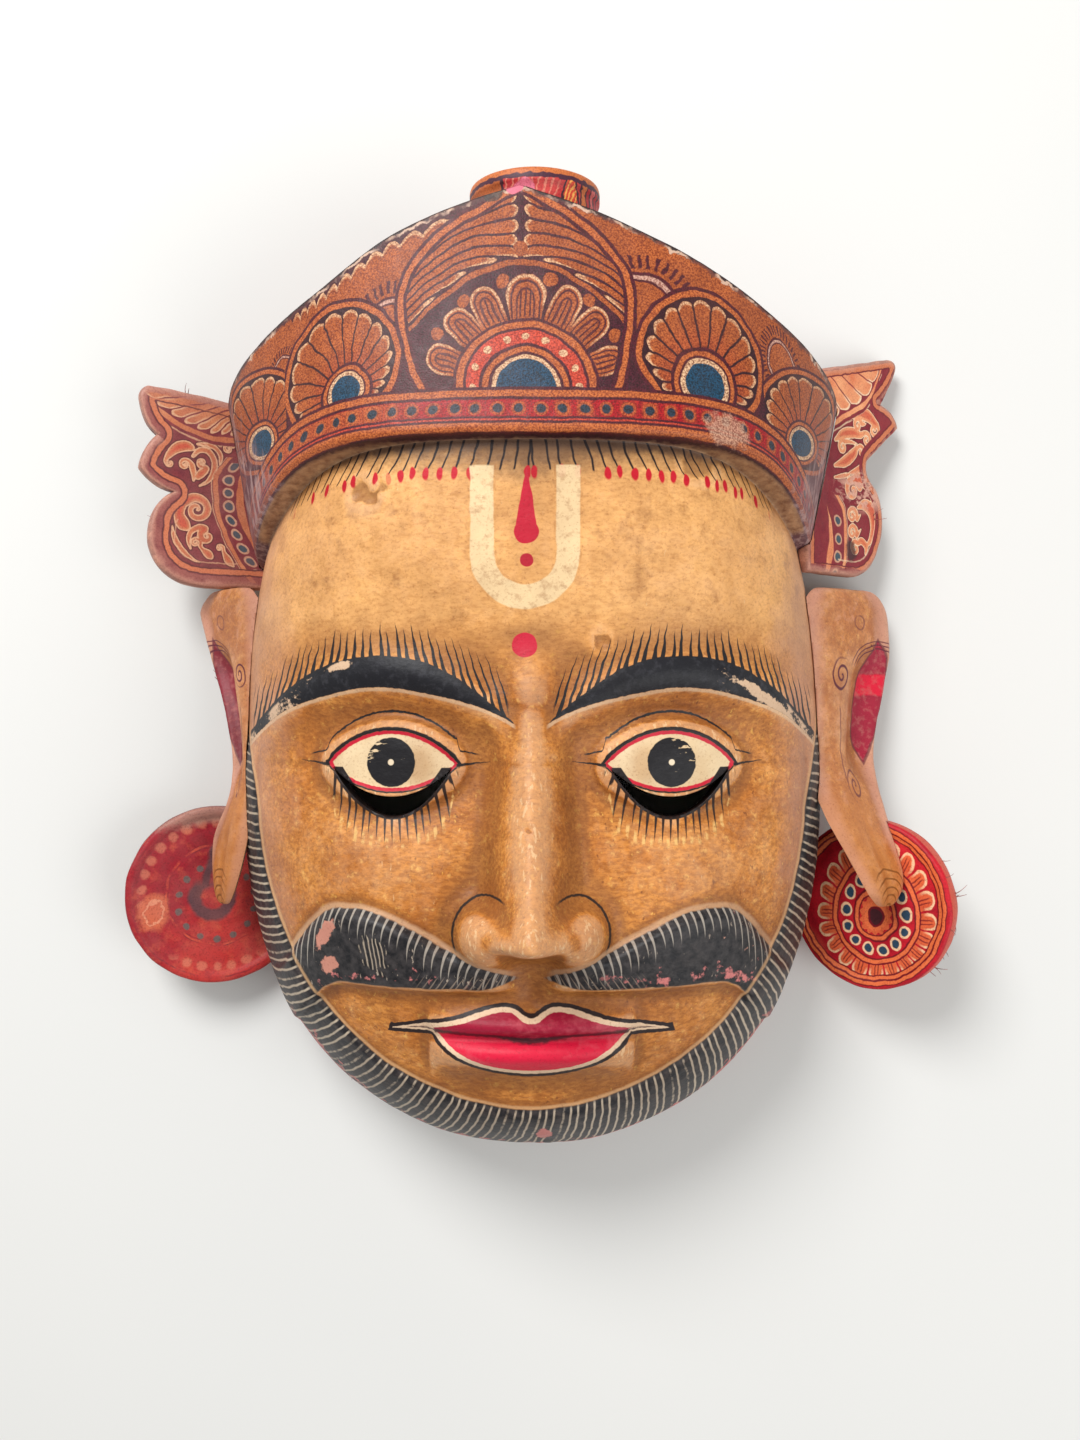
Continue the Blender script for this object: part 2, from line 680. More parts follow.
# The side ornaments' outlines: where each starts on the head, then curves (control, end), u out and v up.
LEAF = 64, [
    (22, 69, 43, 70.5),
    (47, 69, 46, 65),
    (44.5, 57, 40, 53.5),
    (45, 49, 46, 41.5),
    (41.5, 35, 34.5, 33.5),
    (44, 28, 43, 15),
    (40, 1, 24, 0),
]
FLARED_LEAF = 69.5, [
    (20, 76, 43, 82),
    (49.5, 82.5, 46.5, 77.5),
    (43, 71, 35.5, 65),
    (47, 63, 48, 57.5),
    (40, 51, 30, 43),
    (28, 38, 34.5, 33),
    (40.5, 27.5, 39, 17.5),
    (35.5, 1.5, 22.5, 0),
]
# The board's rounded edge: how far in from the outline, and the height there.
LEAF_RIM = [(0, 1.2), (0.35, 2.0), (0.9, 2.4), (1.8, 2.5), (3.5, 2.5)]
ORNAMENT = {
    "left": dict(side=-1, turn=-0.44, low=38, stand=10, shape=LEAF),
    "right": dict(side=1, turn=0.68, low=42, stand=33, shape=FLARED_LEAF),
}


def bezier(start, control, end, steps):
    t = np.linspace(0, 1, steps + 1)[1:, None]
    start, control, end = np.array(start), np.array(control), np.array(end)
    return list((1 - t) ** 2 * start + 2 * t * (1 - t) * control + t * t * end)


def leaf_outline(shape, steps):
    """A leaf's outline, evenly stepped."""
    top, curves = shape
    loop = [np.array([-4.0, top])]
    for cx, cy, ex, ey in curves:
        loop += bezier(loop[-1], (cx, cy), (ex, ey), 24)
    loop = np.array(loop + [np.array([-4.0, 0.0]), loop[0]])
    length = np.concatenate([[0], np.cumsum(np.linalg.norm(np.diff(loop, axis=0), axis=1))])
    at = np.linspace(0, length[-1], steps, endpoint=False)
    return np.stack([np.interp(at, length, loop[:, 0]), np.interp(at, length, loop[:, 1])], -1)


def make_ornament(name, side, turn, low, stand, shape, ribbons, materials, block):
    outline = leaf_outline(shape, 360)
    centre = np.array([17.0, shape[0] * 0.53])
    inward = (centre - outline) / np.linalg.norm(outline - centre, axis=1, keepdims=True)
    rims = [(outline + inward * drop, height) for drop, height in LEAF_RIM]
    flat, half = rims[-1]
    n = len(outline)
    points, faces, starts = [], [], []
    for face, steps in ((1, 56), (-1, 13)):
        rings = rims + [(centre + (flat - centre) * f, half) for f in np.linspace(0.97, 0.04, steps)]
        start = len(points)
        starts.append(start)
        for ring, height in rings:
            points += [[u, v, face * height] for u, v in ring]
        points.append([*centre, face * half])
        last = start + (len(rings) - 1) * n
        fan = [[last + i, last + n, last + (i + 1) % n] for i in range(n)]
        faces += [f[::face] for f in tube_faces(len(rings), n, start) + fan]
    faces += [[i, (i + 1) % n, starts[1] + (i + 1) % n, starts[1] + i] for i in range(n)]
    plain, place = np.array(points), [97, low, stand]
    warp = 0.5 * rough(plain + [0, 0, 40 * side], 26, 6) + 0.15 * rough(plain, 5, 9)
    shaped = plain + np.stack([0.3 * rough(plain, 7, 1), 0.3 * rough(plain, 7, 2), warp], -1)
    shaped = (turned(shaped, turn, "Y") + place) * [side, 1, 1]
    piece = new_piece(name, shaped, [f[::side] for f in faces], materials)
    cut(piece, block)
    local = turned(positions(piece) * [side, 1, 1] - place, -turn, "Y")
    edge = np.array([np.min(np.hypot(*(outline - p[:2]).T)) for p in local])
    guide(piece, "leaf", *local.T)
    guide(piece, "leaf_edge", edge, *ribbon_field(local[:, :2], ribbons))
    return piece


DISC_HALF = 3.4  # half a disc's thickness
EARRING = {
    "left": dict(side=-1, radius=32, turn=0.26, y=-73, stand=12.6),
    "right": dict(side=1, radius=30.4, turn=0.7, y=-75.5, stand=20),
}


def disc_place(side, radius, turn, y, stand):
    reach = radius * math.cos(turn) + 2.2 * math.sin(turn)
    return np.array([side * (WIDTH / 2 - reach), y, stand])


def disc_space(side, radius, turn, y, stand, grow):
    """The room an earring takes up, for trimming the ear behind it."""
    half, out = DISC_HALF + grow, radius + grow
    space = lathe("disc_space", [(0, -half), (out, -half), (out, half), (0, half)], 96, [])
    points = turned(turned(positions(space), math.pi / 2, "X"), -side * turn, "Y")
    set_positions(space, points + disc_place(side, radius, turn, y, stand))
    return space


def make_earring(name, side, radius, turn, y, stand, materials, block):
    half = DISC_HALF
    profile = [(0, -half), (radius * 0.5, -half), (radius - 1.2, -half), (radius - 0.2, -half + 0.6)]
    profile += [(radius, -half + 1.4), (radius, half - 1.2), (radius - 0.3, half - 0.4), (radius - 1, half)]
    profile += [(radius - 3, half), (radius - 3.8, half - 0.7)]
    profile += [(r, half - 0.8 - 0.1 * math.cos(r)) for r in np.linspace(radius - 5, 1.5, 26)]
    profile.append((0, half - 0.9))
    piece = lathe(name, profile, 160, materials)
    points = turned(positions(piece), math.pi / 2, "X")
    bent = [0.3 * rough(points, 8, 1), 0.3 * rough(points, 8, 2), 0.35 * rough(points, 14, side)]
    points += np.stack(bent, -1)
    place = disc_place(side, radius, turn, y, stand)
    set_positions(piece, turned(points, -side * turn, "Y") + place)
    cut(piece, block)
    local = turned(positions(piece) - place, side * turn, "Y")
    guide(piece, "disc", *(local * [side, 1, 1]).T)
    return piece


EAR_TOP, EAR_LENGTH = 37.4, 111.0
EAR_HALF = 17  # about half its width, for the paint
EAR_ROOT = (95, 36)  # X and Z where an ear leaves the head
# The ears' edges: how far down, then the inner and the outer edge out from the head.
NARROW_EAR = [
    (0, 2, 34),
    (0.04, -2, 42),
    (0.2, -2, 31),
    (0.42, -3, 16),
    (0.54, -3, 11.5),
    (0.66, -3, 9),
    (0.8, -2, 18),
    (0.91, 0, 18),
    (1, 5, 15),
]
BROAD_EAR = [
    (0, 0, 44),
    (0.04, -2, 47),
    (0.22, -2, 48),
    (0.42, -1.5, 39.5),
    (0.6, -1, 35),
    (0.76, 0, 30.5),
    (0.93, 6, 31.5),
    (1, 12, 25),
]
EAR = {
    "left": dict(side=-1, sweep=0.86, lift=8, edges=NARROW_EAR),
    "right": dict(side=1, sweep=0.73, lift=20, edges=BROAD_EAR),
}


def ear_edges(a, edges):
    """The inner and outer edge at a, with the corners of the table rounded."""
    near = np.clip(np.array([a - 0.03, a, a + 0.03]), 0, 1)
    down, inner, outer = np.array(edges).T
    low, high = np.interp(near, down, inner).mean(), np.interp(near, down, outer).mean()
    middle, half = (low + high) / 2, (high - low) / 2 * rounded_end(a)
    return middle - half, middle + half


def rounded_end(a):
    """1 along the ear, and less at its top and at its tip, to round them off."""
    top, tip = min(a / 0.1, 1), min((1 - a) / 0.05, 1)
    return mix(1, (1 - (1 - top) ** 2.5) ** 0.4, 0.5) * mix(1, math.sqrt(1 - (1 - tip) ** 2), 0.6)


def make_ear(name, side, sweep, lift, edges, materials, block, earring):
    """An ear: sweep turns it back from the front, lift brings its lobe forward, in mm."""
    rings, around = 110, 64
    points, down, across = [], [], []
    for k in range(rings):
        t = k / (rings - 1)
        a = mix(t, 0.5 - 0.5 * math.cos(math.pi * t), 0.6)
        inner, outer = ear_edges(a, edges)
        taper = max(0.0, math.sin(math.pi * clamp(0.12 + 0.86 * a))) ** 0.35 * rounded_end(a)
        forward = lift * smooth(0.5, 1, a)
        for j in range(around):
            turn = 2 * math.pi * j / around
            b = -math.cos(turn)
            if turn <= math.pi:
                helix = 3 * bell(b - 0.9, 0.18) * smooth(0.97, 0.75, a)
                concha = 4.2 * bell(b - 0.4, 0.34) * smooth(0.14, 0.28, a) * smooth(0.66, 0.5, a)
                fold = 0.9 * bell(b + 0.1 + 0.5 * (a - 0.9), 0.12) * smooth(0.7, 0.85, a)
                height = (4.6 * (1 - b**4) + helix - concha - fold) * taper
            else:
                height = -3.6 * (1 - b**4) * taper
            u, out = mix(inner, outer, (b + 1) / 2), height + forward
            x = EAR_ROOT[0] + u * math.cos(sweep) + out * math.sin(sweep)
            z = EAR_ROOT[1] - u * math.sin(sweep) + out * math.cos(sweep)
            points.append([side * x, EAR_TOP - EAR_LENGTH * a, z])
            down.append(a)
            across.append(b if turn <= math.pi else 2 - b)
    points = np.array(points)
    last = (rings - 1) * around
    faces = tube_faces(rings, around) + [list(range(around)), list(range(last + around - 1, last - 1, -1))]
    wobble = np.stack([0.35 * rough(points, 15, s) + 0.1 * rough(points, 4, s) for s in (1, 2, 3)], -1)
    piece = new_piece(name, points + wobble, [f[::side] for f in faces], materials)
    cut(piece, block)
    space = disc_space(**earring, grow=0.7)
    cut(piece, space)
    bpy.data.objects.remove(space)
    found = positions(piece)
    near = np.array([np.argmin(((points - p) ** 2).sum(1)) for p in found])
    guide(piece, "ear", np.array(down)[near], np.array(across)[near])
    return piece


# Where fibres stick out: the piece, a place near its edge, and how many.
FRAYS = [
    ("disc_right", 154, -62, 7),
    ("disc_right", 147, -97, 6),
    ("disc_right", 150, -80, 2),
    ("lobe_right", 126, 17, 3),
    ("wing_right", 124, 64, 4),
    ("wing_left", -121, 112, 3),
    ("wing_left", -136, 62, 2),
    ("lobe_left", -118, 5, 2),
    ("painted_shell", -20, -166, 4),
    ("painted_shell", 26, -165, 4),
    ("painted_shell", -75, -147, 3),
    ("painted_shell", 78, -142, 4),
    ("painted_shell", 52, -157, 3),
]
FRAY_STEPS, FRAY_SIDES = 6, 5


def make_threads(materials):
    """Short frayed fibres that bend away from the edges."""
    random = np.random.default_rng(7)
    points, faces = [], []
    for name, x, y, count in FRAYS:
        piece = bpy.data.objects[name]
        places, outward = positions(piece), normals(piece)
        near = np.argsort(np.hypot(places[:, 0] - x, places[:, 1] - y))[:40]
        for at in near[random.integers(len(near), size=count)]:
            way = outward[at] * (1, 1, 0.3) + random.normal(0, 0.35, 3)
            way /= np.linalg.norm(way)
            bend = np.cross(way, random.normal(0, 1, 3))
            bend /= np.linalg.norm(bend)
            other = np.cross(way, bend)
            length, start = random.uniform(2, 5.5), len(points)
            for i in range(FRAY_STEPS + 1):
                s = i / FRAY_STEPS
                middle = places[at] - way * 0.5 + (way * s + bend * 0.5 * s * s) * length
                thick = 0.17 * (1 - 0.6 * s)
                for j in range(FRAY_SIDES):
                    turn = 2 * math.pi * j / FRAY_SIDES
                    points.append(middle + (bend * math.cos(turn) + other * math.sin(turn)) * thick)
            for i in range(FRAY_STEPS):
                low, high = start + i * FRAY_SIDES, start + (i + 1) * FRAY_SIDES
                for j in range(FRAY_SIDES):
                    k = (j + 1) % FRAY_SIDES
                    faces.append([low + j, low + k, high + k, high + j])
            faces.append([start + j for j in reversed(range(FRAY_SIDES))])
            faces.append([start + FRAY_STEPS * FRAY_SIDES + j for j in range(FRAY_SIDES)])
    return new_piece("frayed_threads", np.array(points), faces, materials)


# Paint: numbers and colours worked out by nodes at each point of a surface

SOFT = 0.25  # how wide a painted edge's blur is, in mm
NOISE_SPREAD = 1.7  # what a noise of 0 to 1 is stretched by, to run from about -1 to 1


class Num:
    """A number at each point of a surface. Sums and products of Nums add the nodes that work them out."""

    def __init__(self, socket):
        self.socket = socket

    def __add__(self, other):
        return compute("ADD", self, other)

    def __sub__(self, other):
        return compute("SUBTRACT", self, other)

    def __rsub__(self, other):
        return compute("SUBTRACT", other, self)

    def __mul__(self, other):
        return compute("MULTIPLY", self, other)

    def __truediv__(self, other):
        return compute("DIVIDE", self, other)

    def __rtruediv__(self, other):
        return compute("DIVIDE", other, self)

    def __neg__(self):
        return compute("MULTIPLY", self, -1)

    def __abs__(self):
        return compute("ABSOLUTE", self)

    def __and__(self, other):
        return compute("MULTIPLY", self, other)

    def __or__(self, other):
        return compute("MAXIMUM", self, other)

    def __invert__(self):
        return compute("SUBTRACT", 1, self)

    __radd__ = __add__
    __rmul__ = __mul__


def feed(socket, value):
    if isinstance(value, Num):
        socket.id_data.links.new(value.socket, socket)
    else:
        socket.default_value = value


def compute(operation, *values, clamped=False):
    tree = next(v.socket.id_data for v in values if isinstance(v, Num))
    node = tree.nodes.new("ShaderNodeMath")
    node.operation, node.use_clamp = operation, clamped
    for socket, value in zip(node.inputs, values):
        feed(socket, value)
    return Num(node.outputs[0])


def above(x, limit, soft=SOFT):
    """1 where x is over the limit and 0 under it, with an edge soft mm wide."""
    if isinstance(limit, Num):
        x, limit = x - limit, 0
    return ramp(x, 1 / soft, 0.5 - limit / soft)


def below(x, limit, soft=SOFT):
    if isinstance(limit, Num):
        x, limit = x - limit, 0
    return ramp(x, -1 / soft, 0.5 + limit / soft)


def between(x, low, high, soft=SOFT):
    return below(abs(x - (low + high) / 2), (high - low) / 2, soft)


def line(x, half, soft=SOFT):
    """1 within half of x = 0."""
    return below(abs(x), half, soft)


def step(x, limit):
    return compute("GREATER_THAN", x, limit)


def lowest(*values):
    found = values[0]
    for value in values[1:]:
        found = compute("MINIMUM", found, value)
    return found


def highest(x, y):
    return compute("MAXIMUM", x, y)


def sign(x):
    return compute("SIGN", x)


def nearest(x, period):
    """Which repeat x is in."""
    return compute("ROUND", x * (1 / period))


def ramp(x, slope, start):
    """A straight line of x, kept between 0 and 1."""
    return compute("MULTIPLY_ADD", x, slope, start, clamped=True)


def product(x, y, z):
    return compute("MULTIPLY_ADD", x, y, z)


def far(x, y):
    """The distance of (x, y) from the middle."""
    return compute("SQRT", product(x, x, y * y))


def bearing(x, y):
    """The direction of (x, y), from 0 straight up, growing towards x."""
    return compute("ARCTAN2", x, y)


def wrapped(x, period):
    return compute("WRAP", x, period / 2, -period / 2)


def blend(a, b, t):
    return product(b - a, t, a)


def bead_ring(r, a, period, radius):
    """How far (r, a) is from the nearest of the beads that stand in a ring, period radians apart."""
    return far(wrapped(a, period) * radius, r - radius)


def petal_depth(across, t, half):
    """0 in a petal's middle and 1 at its edge. t goes from 0 at its root to 1 at its tip."""
    across = across / half
    return compute("SQRT", product(across, across, compute("POWER", highest(t, 0), 5.0)))


def linear(colour):
    """Blender's colour for one given as it shows on a screen, 0 to 255."""
    return [((c / 255 + 0.055) / 1.055) ** 2.4 if c > 10 else c / 3295 for c in colour] + [1.0]


class Paint:
    """One material, painted layer by layer."""

    def __init__(self, name, base):
        self.material = bpy.data.materials.new(name)
        self.material.use_nodes = True
        self.nodes, self.links = self.material.node_tree.nodes, self.material.node_tree.links
        self.shader = self.nodes["Principled BSDF"]
        self.colour = self.constant(base)
        self.place = self.nodes.new("ShaderNodeTexCoord").outputs["Object"]

    def constant(self, colour):
        node = self.nodes.new("ShaderNodeRGB")
        node.outputs[0].default_value = linear(colour)
        return node.outputs[0]

    def split(self, socket):
        node = self.nodes.new("ShaderNodeSeparateXYZ")
        self.links.new(socket, node.inputs[0])
        return [Num(output) for output in node.outputs]

    def millimetres(self):
        return [c * (1 / MM) for c in self.split(self.place)]

    def guide(self, name):
        node = self.nodes.new("ShaderNodeAttribute")
        node.attribute_name = name
        return self.split(node.outputs["Vector"])

    def texture(self, kind, size, seed, stretch):
        """A texture with features about size mm across, from a place of its own by its seed."""
        move = self.nodes.new("ShaderNodeVectorMath")
        move.operation = "MULTIPLY_ADD"
        self.links.new(self.place, move.inputs[0])
        move.inputs[1].default_value = [s / (size * MM) for s in stretch]
        move.inputs[2].default_value = (17.3 * seed, -9.1 * seed, 5.7 * seed)
        node = self.nodes.new(kind)
        self.links.new(move.outputs[0], node.inputs["Vector"])
        node.inputs["Scale"].default_value = 1
        return node

    def cloudy(self, size, seed, detail, stretch):
        node = self.texture("ShaderNodeTexNoise", size, seed, stretch)
        node.inputs["Detail"].default_value = detail
        node.inputs["Roughness"].default_value = 0.6
        return node

    def noise(self, size, seed, detail=2.0, stretch=(1, 1, 1)):
        """Smooth noise, about -1 to 1, with blotches about size mm across."""
        node = self.cloudy(size, seed, detail, stretch)
        return product(Num(node.outputs[0]), 2 * NOISE_SPREAD, -NOISE_SPREAD)

    def noises(self, size, seed, amount, detail=1.0):
        """Three noises that go from -amount to amount."""
        node = self.cloudy(size, seed, detail, (1, 1, 1))
        spread = NOISE_SPREAD * amount
        return [product(c, 2 * spread, -spread) for c in self.split(node.outputs[1])]

    def chance(self, index):
        """A number from 0 to 1 that is its own for each whole number."""
        node = self.nodes.new("ShaderNodeTexWhiteNoise")
        node.noise_dimensions = "1D"
        feed(node.inputs["W"], index)
        return Num(node.outputs["Value"])

    def tint(self, t, low, high, mode="MIX"):
        """A colour between two, by t from 0 to 1."""
        node = self.nodes.new("ShaderNodeMix")
        node.data_type, node.blend_type = "RGBA", mode
        feed(node.inputs[0], t)
        for socket, colour in ((node.inputs[6], low), (node.inputs[7], high)):
            if isinstance(colour, tuple):
                socket.default_value = linear(colour)
            else:
                self.links.new(colour, socket)
        return node.outputs[2]

    def lay(self, mask, colour, strength=1.0, mode="MIX"):
        """Paints a colour where the mask is 1."""
        self.colour = self.tint(mask if strength == 1 else mask * strength, self.colour, colour, mode)

    def bands(self, x, start, spans, mask=None, soft=SOFT):
        """Lays stripes: spans are (where the stripe ends, its colour or None for a gap), in order of x."""
        end = spans[-1][0] + soft
        scale = 1 / (end - start)
        node = self.nodes.new("ShaderNodeValToRGB")
        feed(node.inputs[0], product(x, scale, -start * scale))
        stops, colour = [], None
        for limit, own in spans:
            # A gap keeps its neighbour's colour, so that no other shows at its edges.
            colour = own or colour or next(c for _, c in spans if c)
            filled = [*linear(colour)[:3], 1.0 if own else 0.0]
            if stops:
                stops.append((stops[-1][0] + soft, filled))
            else:
                stops.append((start, filled))
            stops.append((max(limit - soft / 2, stops[-1][0] + 1e-3), filled))
        stops.append((end, [*linear(colour)[:3], 0.0]))
        found = node.color_ramp.elements
        while len(found) > 1:
            found.remove(found[-1])
        for i, (at, filled) in enumerate(stops):
            element = found[0] if i == 0 else found.new(1)
            element.position = max(0.0, min(1.0, (at - start) * scale))
            element.color = filled
        cover = Num(node.outputs[1])
        self.lay(cover & mask if mask else cover, node.outputs[0])

    def done(self, roughness, height=None, depth=0.3, gloss=0.5):
        self.links.new(self.colour, self.shader.inputs["Base Color"])
        feed(self.shader.inputs["Roughness"], roughness)
        self.shader.inputs["Specular IOR Level"].default_value = gloss
        if height:
            bump = self.nodes.new("ShaderNodeBump")
            bump.inputs["Distance"].default_value = depth * MM
            feed(bump.inputs["Height"], height)
            self.links.new(bump.outputs[0], self.shader.inputs["Normal"])
        return self.material


DEEP = (58, 16, 30)
MAROON = (82, 22, 40)
LINE = (86, 18, 36)
ORANGE = (206, 112, 54)
TAWNY = (166, 82, 32)
CREAM = (238, 196, 152)
RED = (180, 16, 28)
VERMILION = (216, 76, 50)
BLUE = (22, 74, 104)
SLATE = (44, 60, 76)


def gilt(paint, seed):
    """The crown's speckled orange, its cloudiness and the speckle itself."""
    cloud = paint.noise(9, seed, 3)
    speck = paint.noise(0.55, seed + 1, 2)
    warm = paint.tint(ramp(cloud, 0.5, 0.45), TAWNY, ORANGE)
    return warm, cloud, speck


def crown_material():
    paint = Paint("crown_lacquer", MAROON)
    along, up, down = paint.guide("crown")
    level = paint.millimetres()[1]
    sway_x, sway_y, _ = paint.noises(13, 1, 0.8)
    shake_x, shake_y, shake = paint.noises(2.6, 2, 0.18)
    p = along + 3.3 + sway_x + shake_x
    h = up + sway_y + shake_y
    m = abs(p)
    right = sign(p)
    warm, cloud, speck = gilt(paint, 3)
    pale = paint.tint(ramp(cloud, 0.5, 0.5), (222, 168, 120), CREAM)
    ground = ramp(speck, 0.5, 0.35)
    paint.lay(ground, DEEP)

    # The pointed arch, and the inner one
    upper = highest(h - 43, 0)
    lower = highest(43 - h, 0)
    rise = upper * (1 / 33.4)
    fall = lower * (1 / 28)
    wide = 34.2 - right * 1.6
    width = wide - rise * rise * wide - fall * fall * (6.2 - right * 1.6)
    slope = upper * 0.0642 + lower * 0.0199
    wall = (m - width) / far(slope, 1)
    inner = h - (53.3 - p * p * 0.0172)
    inside = below(wall, -0.9)

    # Outside the arch: a speckled field with a scalloped edge, over the rosettes, and its fans
    beyond = step(m, 66)
    farther = highest(m - 33, 0)
    scallop = wrapped(m * 0.12 + farther * farther * 0.00225 + right * 0.12, 1.0)
    ragged = paint.noise(3.0, 14, 3)
    arches = scallop * scallop * 9 * below(m, 80, 6) + 1.5
    brim = down - 0.8 + (m - 30) * 0.02 - blend(arches, ragged * 0.8, (right + 1) * 0.5) + shake * 2
    field = above(h, 31 - beyond * 6, 0.5) & above(wall, 3.0) & above(brim, 0) & below(m, 122, 1)
    paint.lay(field, warm)
    scalloped = field & below(m, 76, 2) & below(right, 0)
    paint.lay(scalloped & below(brim, 1.1, 0.8), pale)
    paint.lay(scalloped & between(brim, 1.6, 2.2), (120, 48, 34), 0.5)
    fan_size = (beyond * 0.9 + 1) * (0.915 - right * 0.085)
    fan_u = (m - 37.9 + right * 1.1 - beyond * (47.8 + right * 4.5)) * fan_size
    fan_v = (h - 33.45 - right * 2.05 - beyond * 1.2) * fan_size
    fan_r = far(fan_u, fan_v)
    fan_a = wrapped(bearing(fan_u, fan_v) + shake * 0.15, 0.145)
    ray = line(fan_a * fan_r, 0.5) & between(fan_r, 14.2, 18.0)
    paint.lay(ray & field, LINE)
    fan = [(10.7, None), (11.3, LINE), (12.4, (216, 170, 150)), (13.3, LINE), (13.6, None)]
    paint.bands(fan_r, 9, fan, field)

    # The feathers between the two arches
    spread = 34 / (m + 10) + 1.9
    c = wrapped((inner - 3.5) / spread - (m - 4) * (1 / 10), 1.0)
    quill = c * c * 8
    tip = lowest(m - 1.0 - quill, inner - 1.5 - quill)
    feather = below(abs(c) * spread - spread * 0.5, -0.42, 0.2) & above(tip, 0) & inside
    paint.lay(feather, warm)
    paint.lay(feather & below(tip, 0.9, 0.7), pale)
    paint.lay(below(far(p, h - 57.7), 2.6), warm)
    paint.lay(line(inner, 0.9) & inside, warm)

    # The great eye and its petals
    u, v = p - 1.8, h - 14.5
    r = far(u, v)
    a = bearing(u, v)
    b = abs(a)
    turn = b - step(b, 0.218) * 0.436 - step(b, 0.611) * 0.349 - step(b, 1.0) * 0.436
    reach = 35.4 - 2.6 * b * b
    t = (r - 21) / (reach - 21)
    half = t * 1.5 + 3.8 + below(b, 0.218, 0.001) * 1.8
    q = petal_depth(turn * r, t, half)
    under_arch = below(inner, -1.8) & below(wall, -1.7)
    edge_gap = lowest(abs(b - 0.218), abs(b - 0.611), abs(b - 1.0)) * r
    filler = below(far(edge_gap, r - reach + 1.0), 2.0)
    paint.lay(filler & under_arch, warm)
    petal = above(r, 21) & under_arch
    paint.lay(below(q, 1.0, 0.06) & petal, warm)
    streak = line(wrapped(turn * r, 1.5), 0.26) & below(q, 0.42, 0.06) & above(t, 0.1, 0.05)
    ridges = between(q, 0.68, 0.78, 0.05) | between(q, 0.4, 0.48, 0.05) | streak
    paint.lay(between(q, 0.86, 0.99, 0.06) & above(t, 0.3, 0.3) & petal, pale)
    paint.lay(ridges & petal, LINE)
    hub = [(9, BLUE), (10.2, CREAM), (11.1, LINE), (12.7, ORANGE), (13.7, LINE)]
    hub += [(18.0, VERMILION), (18.9, LINE), (20.9, ORANGE), (21.9, LINE), (22.6, None)]
    paint.bands(r, 0, hub)
    paint.lay(below(bead_ring(r, a, 0.385, 15.8), 1.15), CREAM)

    # The arch's own line, over what is inside it
    arch = [(-1.0, None), (0.1, LINE), (1.9, ORANGE), (3.0, LINE), (3.6, None)]
    paint.bands(wall, -2, arch, above(h, 12))

    # The rosettes: a fan of plumes in a ring, round an eye near its foot
    out = step(m, 80)
    outward = m - 97.1 - right * 3.4
    x = blend(m - 55.7 - right * 1.6, outward * 0.95 - highest(outward, 0) * 0.4, out)
    y = blend(h - 17.8 - right * 0.9, (level - 81) * 1.25, out)
    lean = (2 - right * 2) * (1 - out)
    disc = far((x - lean) * 0.92, y - 8.6)
    paint.lay(below(disc, 21.2), DEEP)
    paint.bands(disc, 17, [(18.5, None), (20.2, ORANGE), (21.3, LINE), (21.8, None)])
    e = far(x, y) * (1 - (right + 1) * (1 - out) * 0.1)
    spoke = bearing(x, y) + shake * 0.06
    c = wrapped(spoke, 0.25)
    rim = 17.5 - disc - c * c * 110
    gap = (0.125 - abs(c)) * e
    plume = above(rim, 0) & above(gap, 0.3) & below(abs(spoke), 2.0, 0.05) & above(e, 8.8)
    paint.lay(plume, warm)
    paint.lay(plume & below(e, 13, 5), (190, 70, 40), 0.35)
    paint.lay(plume & below(rim, 0.9, 0.7), pale)
    eye = [(5.2, BLUE), (6.5, CREAM), (7.1, LINE), (8.3, ORANGE), (9.3, LINE), (10, None)]
    paint.bands(e, 0, eye)
    paint.lay(between(e, 5.4, 6.3) & above(speck, 0.3, 0.6), (120, 84, 74), 0.6)

    # The band
    g = up + sway_y * 0.3 + shake_y * 0.7
    warm_side = below(p, -38, 14)
    stripes = [(0.9, DEEP), (1.3, LINE), (3.9, ORANGE), (4.7, LINE), (5.2, VERMILION), (5.9, LINE)]
    stripes += [(11.1, RED), (12.0, LINE), (14.0, ORANGE), (15.0, LINE), (15.6, None)]
    paint.bands(g, -2, stripes)
    paint.lay(between(g, 6.0, 11.0), paint.tint(warm_side, RED, (192, 88, 44)))
    patchy = paint.chance(nearest(p, 6.4))
    cell = wrapped(p, 6.4)
    spot = far(cell, g - 8.4)
    paint.lay(below(abs(cell), 2.3, 1.0) & between(g, 6.0, 11.0) & above(patchy, 0.6, 0.4), ORANGE, 0.4)
    paint.lay(below(spot, 2.2), ORANGE, 0.6)
    paint.lay(below(spot, 1.45, 0.4), SLATE)
    worn = far((p - 64.5) * 0.62, g - 6.0) + paint.noise(3, 8, 3) * 2.2
    paint.lay(below(worn, 4.6, 1.8), (214, 168, 140), 0.8)

